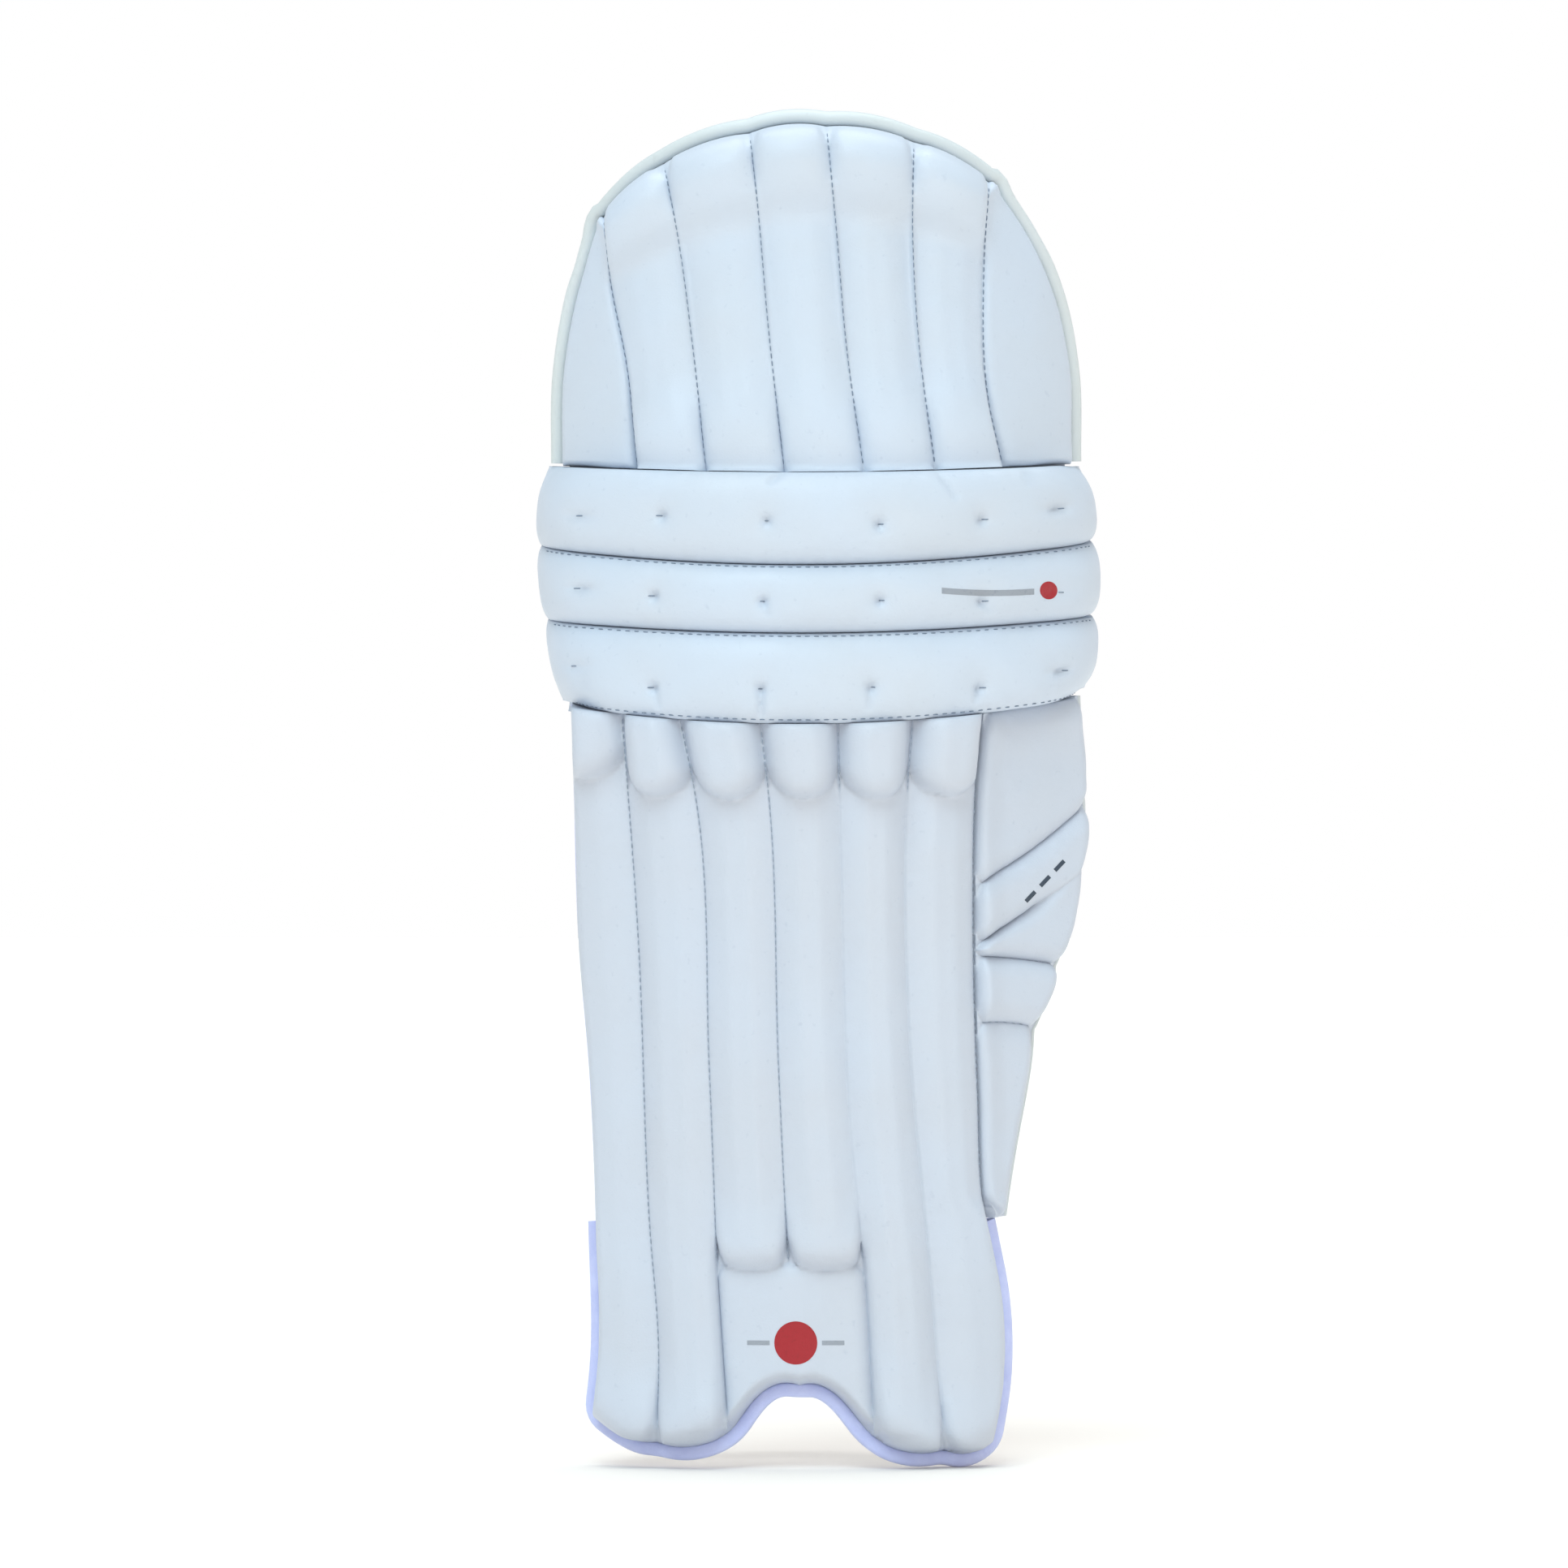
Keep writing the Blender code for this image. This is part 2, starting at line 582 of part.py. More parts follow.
def make_binding(left, instep, right):
    """Suede strip sewn round the foot end's edge, from one side to the other."""
    sides = places_of(SIDE_LENGTH)[:BINDING_ROWS]
    edge = [right.where(2, v) for v in reversed(sides)]
    edge += [right.where(u, 0.0) for u in reversed(right.columns()[:-1])]
    edge += [instep.where(u, 0.0) for u in reversed(instep.columns())]
    edge += [left.where(u, 0.0) for u in reversed(left.columns())]
    edge += [left.where(0, v) for v in sides[1:]]
    inner = outward_path(edge, EDGE_GAP)
    outer = outward_path(edge, EDGE_GAP + BINDING_WIDTH)
    numbers = list(range(len(edge)))

    def surface(offset):
        def point(u, v):
            place = (inner, outer)[int(v)][int(u)]
            return on_pad(place[0], place[1], offset)
        return point

    make_layer("foot_binding", BINDING, numbers, [0, 1], surface(BINDING_FRONT),
               surface(BINDING_BACK))


def make_shin():
    left = make_shin_group("left", 0, 2, SIDE_LENGTH, SIDE_HEAD, None, FOOT_CROWN)
    make_shin_group("middle", 2, 4, MIDDLE_LENGTH, MIDDLE_HEAD, MIDDLE_FOOT, 0.0)
    right = make_shin_group("right", 4, 6, SIDE_LENGTH, SIDE_HEAD, None, FOOT_CROWN)
    instep = make_instep()
    make_shin_back()
    make_shin_cushion("left", -0.034)
    make_shin_cushion("right", 0.034)
    make_binding(left, instep, right)


# ---------------------------------------------------------------- wing

def make_wing():
    edge = smooth_curve(WING_EDGE)
    channels = len(WING_SHARES)
    fold_heights = [seam[0] for seam in WING_SEAMS]
    edge_heights = [seam[1] for seam in WING_SEAMS]
    across = [0.0, 0.08, 0.30, 0.60, 0.88, 1.0]
    across_rise = (0.0, 0.75, 1.0, 1.0, 0.75, 0.0)

    def place(u, v):
        at_fold = float(np.interp(v, range(channels + 1), fold_heights))
        at_edge = float(np.interp(v, range(channels + 1), edge_heights))
        return mix(WING_X + BODY_GAP / 2, edge(at_edge), u), mix(at_fold, at_edge, u)

    def rise(u, v):
        channel = min(int(v), channels - 1)
        section = read_section(BATON_SECTION, v - channel)
        return SEAM_RISE + WING_PAD * WING_SHARES[channel] * section * float(
            np.interp(u, across, across_rise))

    def point(u, v, offset):
        return on_wing(*place(u, v), offset)

    rows = [channel + step for channel in range(channels) for step, _ in BATON_SECTION[:-1]]
    rows.append(channels)
    make_layer("wing_facing", LEATHER, across, rows,
               lambda u, v: point(u, v, rise(u, v)),
               lambda u, v: point(u, v, rise(u, v) - FACING))
    make_layer("wing_backing", WHITE_FABRIC, across, list(range(channels + 1)),
               lambda u, v: point(u, v, 0.0), lambda u, v: point(u, v, -BACKING))
    for channel in range(channels):
        padding_rows = inset([channel + step for step, _ in BATON_SECTION], 0.05)
        make_padding(f"wing_pad_{channel + 1}", inset(across, 0.04), padding_rows, point, rise)


# ---------------------------------------------------------------- straps

def smooth_path(points):
    """Smooth function of 0 to 1 through plan points, as (x, y)."""
    lengths = [math.dist(a, b) for a, b in zip(points, points[1:])]
    shares = np.concatenate(([0.0], np.cumsum(lengths))) / sum(lengths)
    x_at = smooth_curve([(share, point[0]) for share, point in zip(shares, points)])
    y_at = smooth_curve([(share, point[1]) for share, point in zip(shares, points)])
    return lambda share: Vector((x_at(share), y_at(share)))


def make_band(name, material, path, columns, width, height, thickness, shift=0.0):
    """Flat upright band along a plan path; shift moves it to the path's right."""
    step = 0.002

    def surface(offset):
        def point(u, v):
            along = (path(min(u + step, 1.0)) - path(max(u - step, 0.0))).normalized()
            spot = path(u) + Vector((along.y, -along.x)) * offset
            return Vector((spot.x, spot.y, height + (v - 0.5) * width))
        return point

    make_layer(name, material, columns, [0.0, 1.0],
               surface(shift - thickness / 2), surface(shift + thickness / 2))


def make_strap(label, height, anchor_x):
    """Elastic strap sewn to the left edge, round the calf, onto a landing tab at the right.

    Its free end and the tab follow circles about the sewn end, so that it swings clear.
    """
    anchor = on_pad(anchor_x, height, STRAP_OFFSET).xy
    tab_root = on_pad(STRAP_TAB_X, height, STRAP_OFFSET).xy
    tab_reach = (tab_root - anchor).length + STAND_OFF
    strap_reach = tab_reach + STRAP_THICKNESS + HOOK_THICKNESS + 2 * EDGE_GAP
    hook_reach = strap_reach - STRAP_THICKNESS / 2 - HOOK_THICKNESS / 2 - EDGE_GAP
    root_angle = math.atan2(tab_root.y - anchor.y, tab_root.x - anchor.x)

    def arc(radius, start, end, count):
        angles = [root_angle + mix(start, end, step / (count - 1)) for step in range(count)]
        return [anchor + Vector((math.cos(angle), math.sin(angle))) * radius for angle in angles]

    tab = smooth_path([tab_root] + arc(tab_reach, TAB_START, TAB_END, 4))
    make_band(f"{label}_strap_tab", LOOP, tab, [step / 8 for step in range(9)],
              STRAP_WIDTH, height, STRAP_THICKNESS)
    route = [anchor] + [Vector((anchor.x * share, y)) for share, y in STRAP_ROUTE]
    route += [Vector(place) for place in STRAP_ROUTE_RIGHT]
    strap = smooth_path(route + arc(strap_reach, TAB_END + 0.02, STRAP_END, 4))
    make_band(f"{label}_strap", WEBBING, strap, [step / 24 for step in range(25)],
              STRAP_WIDTH, height, STRAP_THICKNESS)
    hook = smooth_path(arc(hook_reach, TAB_END - 0.02, STRAP_END, 4))
    make_band(f"{label}_strap_hook", HOOK, hook, [0.0, 0.25, 0.5, 0.75, 1.0],
              STRAP_WIDTH - 0.004, height, HOOK_THICKNESS)


clear_scene()
make_top_flap()
for roll in range(len(KNEE_ROLLS)):
    make_knee_roll(roll)
make_shin()
make_wing()
for strap in STRAPS:
    make_strap(*strap)
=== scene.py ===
"""Sewn and stuffed look of a cricket leg pad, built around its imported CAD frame.

Frame: +Z runs up the leg, the front of the pad faces -Y and the side wing is at +X. A place on
the pad is a sideways distance x, a height z and an offset in front of the curved back sheet.
"""
import math

import bpy
import numpy as np
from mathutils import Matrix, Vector
from mathutils.bvhtree import BVHTree


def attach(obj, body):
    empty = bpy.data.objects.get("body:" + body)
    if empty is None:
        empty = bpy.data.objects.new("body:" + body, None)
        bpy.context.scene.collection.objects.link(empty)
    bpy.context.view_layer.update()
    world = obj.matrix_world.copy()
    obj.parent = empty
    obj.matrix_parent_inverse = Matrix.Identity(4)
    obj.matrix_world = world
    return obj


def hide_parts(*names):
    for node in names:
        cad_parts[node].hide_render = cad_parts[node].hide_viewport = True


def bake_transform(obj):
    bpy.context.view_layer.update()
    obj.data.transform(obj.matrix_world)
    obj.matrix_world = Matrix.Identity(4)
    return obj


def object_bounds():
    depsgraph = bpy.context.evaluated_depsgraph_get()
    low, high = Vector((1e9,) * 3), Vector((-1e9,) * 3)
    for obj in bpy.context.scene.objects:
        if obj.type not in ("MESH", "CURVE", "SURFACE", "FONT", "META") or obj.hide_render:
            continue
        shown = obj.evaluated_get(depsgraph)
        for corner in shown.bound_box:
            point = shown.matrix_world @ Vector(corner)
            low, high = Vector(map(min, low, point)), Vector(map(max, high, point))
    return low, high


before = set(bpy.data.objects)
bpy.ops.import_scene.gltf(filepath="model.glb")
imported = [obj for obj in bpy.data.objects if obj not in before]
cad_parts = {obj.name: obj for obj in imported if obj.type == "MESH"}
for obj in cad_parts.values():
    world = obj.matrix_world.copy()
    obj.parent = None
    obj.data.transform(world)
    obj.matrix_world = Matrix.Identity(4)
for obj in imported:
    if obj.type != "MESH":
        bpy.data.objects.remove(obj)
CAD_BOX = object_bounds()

# ---------------------------------------------------------------- sizes that follow the CAD

PAD_RADIUS = 0.165          # of the curved sheet, seen from above
FRONT_Y = -0.086            # foremost line of the sheet
FOOT_FLARE = 0.012          # how far the foot end comes forward, below FLARE_HEIGHT
FLARE_HEIGHT = 0.10
TOP_LEAN = 0.016            # how far the top leans back, above LEAN_HEIGHT
LEAN_HEIGHT = 0.54
PAD_HEIGHT = 0.728
WING_X = 0.0985             # fold of the wing
WING_RADIUS = 0.50

SEAM_RISE = 0.0036          # outer surface at a sewn seam
SKIN_BACK = 0.0004          # inner surface of every leather skin
CLOTH_FRONT = -0.0001       # front of every cloth back panel
BACKING = 0.0025            # depth of the cloth panels behind the sheet
LINING_FRONT = 0.0033
CUSHION_START = 0.0057
KNEE_CUSHION_START = 0.0042
BODY_GAP = 0.0012           # between pieces on different bodies
EDGE_GAP = 0.0004           # between the layers of a strap's closure

TOP_BATON = 0.020           # stuffing heights above a sewn seam
SHIN_BATON = 0.022
SHIN_HEAD = 0.011
KNEE_ROLL = 0.038
WING_PAD = 0.011
INSTEP_FULL = 0.0200
SHIN_CUSHION = 0.017
KNEE_CUSHION = 0.015
PIPING_RADIUS = 0.0040

# Seams between the knee rolls: (height in the middle, rise with x squared)
KNEE_SEAMS = ((0.3970, 0.84), (0.4455, 0.54), (0.4820, 0.73), (0.5315, 0.35))
KNEE_ROLLS = ("lower", "middle", "upper")

# Seams of the flap from left to right: (height, x) points
TOP_SEAMS = (
    ((0.5380, -0.1252), (0.5860, -0.1245), (0.6250, -0.1182), (0.6480, -0.1120), (0.6640, -0.1075)),
    ((0.5350, -0.0850), (0.5910, -0.0910), (0.6320, -0.0990), (0.6710, -0.1035)),
    ((0.5335, -0.0490), (0.5990, -0.0560), (0.6530, -0.0630), (0.6990, -0.0715)),
    ((0.5328, -0.0080), (0.6110, -0.0165), (0.6750, -0.0220), (0.7148, -0.0263)),
    ((0.5332, 0.0335), (0.5990, 0.0245), (0.6610, 0.0193), (0.7185, 0.0140)),
    ((0.5345, 0.0710), (0.5990, 0.0626), (0.6600, 0.0592), (0.7105, 0.0599)),
    ((0.5370, 0.1065), (0.5700, 0.0993), (0.6400, 0.0967), (0.6900, 0.0998)),
    ((0.5405, 0.1445), (0.5900, 0.1434), (0.6300, 0.1350), (0.6600, 0.1215), (0.6830, 0.1060)),
)
TOP_CROWN = 0.003           # rise of each baton's top above its seams

# Seams of the shin from left to right; the last is the wing's fold
SHIN_SEAMS = (
    ((0.0262, -0.1085), (0.0520, -0.1058), (0.1200, -0.1065), (0.2070, -0.1100), (0.2800, -0.1160),
     (0.3600, -0.1185), (0.4100, -0.1200)),
    ((0.0114, -0.0748), (0.0620, -0.0740), (0.1290, -0.0788), (0.2840, -0.0849), (0.4050, -0.0936)),
    ((0.0175, -0.0372), (0.1050, -0.0429), (0.2120, -0.0473), (0.3590, -0.0547), (0.4010, -0.0630)),
    ((0.0425, 0.0000), (0.1037, -0.0053), (0.2120, -0.0109), (0.3590, -0.0162), (0.3975, -0.0206)),
    ((0.0153, 0.0390), (0.1020, 0.0341), (0.1870, 0.0263), (0.3260, 0.0219), (0.3975, 0.0201)),
    ((0.0074, 0.0761), (0.1033, 0.0687), (0.2290, 0.0578), (0.3650, 0.0569), (0.4000, 0.0595)),
    ((0.0125, 0.1020), (0.0450, 0.1072), (0.0900, 0.1060), (0.1160, 0.1010), (0.1350, 0.0972),
     (0.2000, 0.0935), (0.2900, 0.0912), (0.3700, 0.0928), (0.4050, 0.0958)),
)
# Rise of the foot's edge between two seams
FOOT_CROWNS = (-0.005, -0.005, 0.010, 0.010, -0.005, -0.005)
MIDDLE_FOOT = 0.1045        # height at which the two middle batons stop
INSTEP_TOP = 0.1090         # top of the instep panel, tucked under those batons
BINDING_TOP = 0.130         # height at which the suede edge ends on both sides

# Heights of the wing's seams at the fold and at the outer edge
WING_SEAMS = ((0.1310, 0.1316), (0.2365, 0.2320), (0.2725, 0.2660), (0.2785, 0.3280),
              (0.3100, 0.3600), (0.4027, 0.4130))
# Outer edge of the wing: (height, x) points
WING_EDGE = ((0.1316, 0.1085), (0.1750, 0.1145), (0.2180, 0.1215), (0.2320, 0.1235),
             (0.2560, 0.1320), (0.2850, 0.1405), (0.3280, 0.1475), (0.3600, 0.1505),
             (0.4130, 0.1490))

STRAP_THICKNESS = 0.0024
HOOK_THICKNESS = 0.0012
STRAP_WIDTH = 0.036
STRAP_TAB_X = 0.086
STRAP_OFFSET = -0.0066      # of the sewn ends of straps and tabs, behind the sheet
STAND_OFF = 0.004           # how much farther from the strap's sewn end a tab lies than its root
TAB_START = math.radians(4.5)
TAB_END = math.radians(20)
STRAP_END = math.radians(6.5)
# Plan of a strap: (share of the sewn end's x, y), then (x, y) beyond the middle
STRAP_ROUTE = ((1.0, -0.012), (0.945, 0.020), (0.72, 0.050), (0.36, 0.070), (0.0, 0.077))
STRAP_ROUTE_RIGHT = ((0.036, 0.070), (0.066, 0.047))
# (name, height, x of the sewn end, body that carries its anchor and tab)
STRAPS = (("ankle", 0.090, -0.106, "shin"), ("calf", 0.240, -0.106, "shin"),
          ("knee", 0.427, -0.124, "knee_lower"))

# ---------------------------------------------------------------- sizes of the sewn look

LOWEST = 0.6 * SEAM_RISE    # no outer surface comes closer to the sheet
SEAM_FLOOR = 0.0205         # bottom of the valley between two shin batons
PANEL_FLOOR = 0.0160        # the same round the instep panel
WING_FLOOR = 0.0150         # the same on the wing
FOLD_FLOOR = 0.0185         # the same along the wing's fold
FLAP_FLOORS = (0.0036, 0.0150, 0.0195, 0.0195, 0.0195, 0.0195, 0.0150, 0.0036)
FINGER_FLOOR = 0.0270       # the same between the finger pads
ROLL_FLOOR = 0.0290         # bottom of the valley between two knee rolls
ROLL_END_FLOOR = 0.0340     # the same close to the ends of the rolls
FREE_FLOOR = 0.0305         # edge of the lowest and highest roll where no roll is beside it
FREE_END_FLOOR = 0.010      # the same close to the ends
EDGE_WIDTH = 0.0072         # suede that shows round the foot end
PRINT_RISE = 0.00012        # of a printed mark above the leather
STITCH_PITCH = 0.0040
STITCH_LENGTH = 0.0029
STITCH_RADIUS = 0.00032
STITCH_LIFT = 0.0004        # of a stitch's middle above the leather
PUCKER = 0.00032            # depth of the gathers beside a seam
TUFT_LENGTH = 0.0012        # half the length of the line of threads across a tuft
TUFT_PULL = 0.0045          # how deep a tuft draws the leather in around it
TUFT_REACH = 0.0080
TUFT_DIMPLE = 0.0026        # how much deeper its own small dimple is
TUFT_DIMPLE_WIDTH = 0.0024
CREASE_WIDTH = 0.0020

# Lengthwise swell of the top batons, and their cross-section: flat middle, sloping sides
TOP_LENGTH = ((0.0, 1.04), (0.10, 1.18), (0.20, 1.10), (0.32, 0.92), (0.50, 0.84), (0.66, 0.80),
              (0.74, 0.86), (0.82, 1.30), (0.91, 1.56), (1.0, 1.46))
FACETS = ((0.0, 0.76), (0.10, 0.83), (0.27, 0.955), (0.33, 0.995), (0.50, 1.0), (0.67, 0.995),
          (0.73, 0.955), (0.90, 0.83), (1.0, 0.76))
# Lowest points of the finger pads under the knee, one over each shin baton
FINGER_ENDS = (0.3675, 0.3583, 0.3566, 0.3570, 0.3570, 0.3583)
# Outline of the knee rolls at their (lower, upper) edges: left x, right x
ROLL_LEFT = ((-0.1275, -0.1352), (-0.1352, -0.1385), (-0.1390, -0.1350))
ROLL_RIGHT = ((0.1545, 0.1580), (0.1578, 0.1572), (0.1575, 0.1515))
# Lengths over which a roll rounds off at its left and right end
ROLL_ROUND = (0.044, 0.046)
# Stitched edges of the knee rolls, as shares of their height
ROLL_STITCHES = ((0.04, 0.965), (0.965,), ())
ROLL_CORNER = 0.0022        # how far the corners of a roll are drawn in
# Tufts of each knee roll: (x, height)
TUFTS = (
    ((-0.1212, 0.4283), (-0.0796, 0.4165), (-0.0210, 0.4156), (0.0389, 0.4165), (0.0980, 0.4165),
     (0.1431, 0.4261)),
    ((-0.1194, 0.4699), (-0.0792, 0.4655), (-0.0197, 0.4624), (0.0438, 0.4629), (0.0993, 0.4629),
     (0.1409, 0.4681)),
    ((-0.1181, 0.5088), (-0.0748, 0.5084), (-0.0175, 0.5053), (0.0433, 0.5036), (0.0993, 0.5066),
     (0.1409, 0.5132)),
)
# Soft creases of the knee rolls: (x, height) at both ends, depth
CREASES = (
    (((-0.1212, 0.4283), (-0.1150, 0.4140), 0.0012), ((-0.0796, 0.4165), (-0.0750, 0.4050), 0.0014),
     ((-0.0210, 0.4156), (-0.0206, 0.4000), 0.0026), ((0.0389, 0.4165), (0.0370, 0.4040), 0.0012),
     ((0.0980, 0.4165), (0.0945, 0.4080), 0.0012)),
    (((-0.0197, 0.4624), (-0.0160, 0.4540), 0.0008), ((0.0993, 0.4629), (0.1050, 0.4560), 0.0008)),
    (((-0.0080, 0.5320), (-0.0175, 0.5250), 0.0020), ((0.0731, 0.5330), (0.0853, 0.5170), 0.0020),
     ((0.1200, 0.5360), (0.1240, 0.5250), 0.0010)),
)


# ---------------------------------------------------------------- maths

def mix(start, end, share):
    return start + (end - start) * share


def smooth_curve(points):
    """Return a smooth function through the (place, value) points."""
    places, values = np.array(points, dtype=float).T
    slopes = np.gradient(values, places)

    def value_at(place):
        place = np.clip(place, places[0], places[-1])
        first = np.clip(np.searchsorted(places, place, side="right") - 1, 0, len(places) - 2)
        span = places[first + 1] - places[first]
        share = (place - places[first]) / span
        start = values[first] * (1 + 2 * share) * (1 - share) ** 2
        start += slopes[first] * span * share * (1 - share) ** 2
        end = values[first + 1] * share ** 2 * (3 - 2 * share)
        end += slopes[first + 1] * span * share ** 2 * (share - 1)
        return start + end

    return value_at


def smoothstep(share):
    share = np.clip(share, 0.0, 1.0)
    return share * share * (3 - 2 * share)


def ramp(value, start, end):
    """Smooth share, 0 at start and 1 at end."""
    return smoothstep((value - start) / (end - start))


def rounded_rise(distance, reach):
    """Share that climbs from 0 to 1 like the side of a ball."""
    return np.sqrt(1 - (1 - np.clip(distance / reach, 0, 1)) ** 2)


def spaced(count, gathering=0.75):
    """Shares from 0 to 1, closer together near both ends."""
    even = np.linspace(0.0, 1.0, count)
    return mix(even, 0.5 - 0.5 * np.cos(np.pi * even), gathering)


def dome(side, end, side_reach, end_reach):
    """Share of full height at a distance from a seam and from an end, rounded over both."""
    from_side = np.clip(1 - side / side_reach, 0, 1)
    from_end = np.clip(1 - end / end_reach, 0, 1)
    return np.clip(1 - from_side ** 2 - from_end ** 2, 0, 1) ** 0.62


def gauss(distance, width):
    """Bell curve, 1 in the middle."""
    return np.exp(-(distance / width) ** 2)


def soft_min(first, second, blur):
    """Lower of two values, with the corner between them rounded off."""
    return 0.5 * (first + second - np.sqrt((first - second) ** 2 + blur ** 2) + blur)


def clear_of_edge(offset, x, edge_x, edge_offset):
    """Lean a surface back until it no longer hides an outer edge or seam from the front."""
    seen_edge = np.abs(edge_x) * (1 + edge_offset / PAD_RADIUS)
    limit = PAD_RADIUS * (seen_edge / np.maximum(np.abs(x), 0.004) - 1)
    return np.maximum(soft_min(offset, limit, 0.0016), np.minimum(offset, edge_offset))


def behind_seen(x, offset):
    """x of a place that stands at an offset but is seen from the front where x is now."""
    return x / (1 + (offset - SEAM_RISE) / PAD_RADIUS)


def soft_noise(x, y, size, seed):
    """Smooth noise from -1 to 1 with lumps about one size across."""
    count = 64
    table = np.random.default_rng(seed).uniform(-1, 1, (count, count))
    column, row = np.floor(x / size).astype(int), np.floor(y / size).astype(int)
    across, up = smoothstep(x / size - column), smoothstep(y / size - row)
    left, right, below, above = (place % count for place in (column, column + 1, row, row + 1))
    low = mix(table[below, left], table[below, right], across)
    return mix(low, mix(table[above, left], table[above, right], across), up)


def front_line(height):
    """Foremost y of the curved sheet at a height."""
    flare = np.maximum(0.0, 1 - height / FLARE_HEIGHT)
    lean = np.maximum(0.0, (height - LEAN_HEIGHT) / (PAD_HEIGHT - LEAN_HEIGHT))
    return FRONT_Y - FOOT_FLARE * flare ** 2 + TOP_LEAN * lean ** 2


def on_pad(x, height, offset):
    """Points in front of (offset above 0) or behind the curved sheet."""
    x, height, offset = np.broadcast_arrays(np.asarray(x, float), height, offset)
    sine = np.clip(x / PAD_RADIUS, -0.99, 0.99)
    cosine = np.sqrt(1 - sine ** 2)
    y = front_line(height) + PAD_RADIUS * (1 - cosine)
    return np.stack((x + offset * sine, y - offset * cosine, height), axis=-1)


def pad_place(points):
    """Sideways distance, height and offset of points: the reverse of on_pad."""
    x, y, height = points.T
    from_axis = y - front_line(height) - PAD_RADIUS
    radius = np.hypot(x, from_axis)
    return x / radius * PAD_RADIUS, height, radius - PAD_RADIUS


def on_wing(x, height, offset):
    """The same for the wing, which leaves the pad in line with it and is flatter."""
    x, height, offset = np.broadcast_arrays(np.asarray(x, float), height, offset)
    fold_sine = WING_X / PAD_RADIUS
    fold_cosine = math.sqrt(1 - fold_sine ** 2)
    fold_y = FRONT_Y + PAD_RADIUS * (1 - fold_cosine)
    sine = fold_sine + (x - WING_X) / WING_RADIUS
    cosine = np.sqrt(1 - sine ** 2)
    y = fold_y + WING_RADIUS * (fold_cosine - cosine)
    return np.stack((x + offset * sine, y - offset * cosine, height), axis=-1)


def seam_height(number, x):
    """Height of a seam between the knee rolls, counted from the lowest."""
    middle, sweep = KNEE_SEAMS[number]
    return middle + sweep * x ** 2


# ---------------------------------------------------------------- meshes

def link(name, data):
    item = bpy.data.objects.new(name, data)
    bpy.context.scene.collection.objects.link(item)
    return item


def link_mesh(name, points, faces, material, painted_shade=None):
    """Smooth mesh with one material, and a point attribute of painted shade for its first points when
    one is given.
    """
    mesh = bpy.data.meshes.new(name)
    mesh.from_pydata(points.reshape(-1, 3).tolist(), [], faces)
    mesh.shade_smooth()
    mesh.set_sharp_from_angle(angle=math.radians(70))
    if painted_shade is not None:
        values = np.zeros(len(mesh.vertices), np.float32)
        values[:painted_shade.size] = painted_shade.ravel()
        mesh.attributes.new("painted_shade", "FLOAT", "POINT").data.foreach_set("value", values)
    mesh.materials.append(material)
    return link(name, mesh)


def grid_faces(rows, columns):
    index = np.arange(rows * columns).reshape(rows, columns)
    corners = (index[:-1, :-1], index[:-1, 1:], index[1:, 1:], index[1:, :-1])
    return index, np.stack(corners, axis=-1).reshape(-1, 4)


def grid_solid(name, front, back, material, painted_shade=None):
    """Closed solid between two grids of points with the same rows and columns."""
    rows, columns = front.shape[:2]
    index, faces = grid_faces(rows, columns)
    edge = np.concatenate((index[0, :-1], index[:-1, -1], index[-1, :0:-1], index[:0:-1, 0]))
    after = np.roll(edge, -1)
    count = rows * columns
    rim = np.stack((after, edge, edge + count, after + count), axis=-1)
    faces = np.concatenate((faces, faces[:, ::-1] + count, rim))
    points = np.concatenate((front.reshape(-1, 3), back.reshape(-1, 3)))
    return link_mesh(name, points, faces.tolist(), material, painted_shade)


def tube(name, rings, material):
    """Closed tube from a grid of points: one row for each point of its cross-section."""
    around, along = rings.shape[:2]
    closed = np.concatenate((rings, rings[:1]))
    _, faces = grid_faces(around + 1, along)
    faces = faces % (around * along)
    caps = [[ring * along for ring in range(around)],
            [ring * along + along - 1 for ring in reversed(range(around))]]
    return link_mesh(name, closed[:-1], faces.tolist() + caps, material)


def offset_path(path, distance):
    """Move (x, height) points sideways on the sheet, to their left as the path is walked."""
    path = np.asarray(path, float)
    along = PAD_RADIUS * np.arcsin(path[:, 0] / PAD_RADIUS)
    step_x, step_z = np.gradient(along), np.gradient(path[:, 1])
    length = np.hypot(step_x, step_z)
    along = along - step_z / length * distance
    height = path[:, 1] + step_x / length * distance
    return PAD_RADIUS * np.sin(along / PAD_RADIUS), height


def edge_tube(name, path, section, material):
    """Tube along an edge; its section is (distance outwards on the sheet, offset) points."""
    rings = [on_pad(*offset_path(path, out), offset) for out, offset in section]
    return tube(name, np.array(rings), material)


def rounded(out_low, out_high, low, high, power=3.0, count=16):
    """Rounded box as a cross-section."""
    points = []
    for step in range(count):
        angle = math.tau * step / count
        cosine, sine = math.cos(angle), math.sin(angle)
        out = math.copysign(abs(cosine) ** (2 / power), cosine)
        up = math.copysign(abs(sine) ** (2 / power), sine)
        points.append((mix(out_low, out_high, 0.5 + out / 2), mix(low, high, 0.5 + up / 2)))
    return points


def resample(path, pitch):
    """Points one pitch apart along a path of points."""
    path = np.asarray(path, float)
    lengths = np.concatenate(([0.0], np.cumsum(np.linalg.norm(np.diff(path, axis=0), axis=1))))
    count = max(2, int(lengths[-1] / pitch))
    stops = (np.arange(count) + 0.5) / count * lengths[-1]
    return np.stack([np.interp(stops, lengths, axis) for axis in path.T], axis=-1)


def unit(vectors):
    return vectors / np.linalg.norm(vectors, axis=-1, keepdims=True)


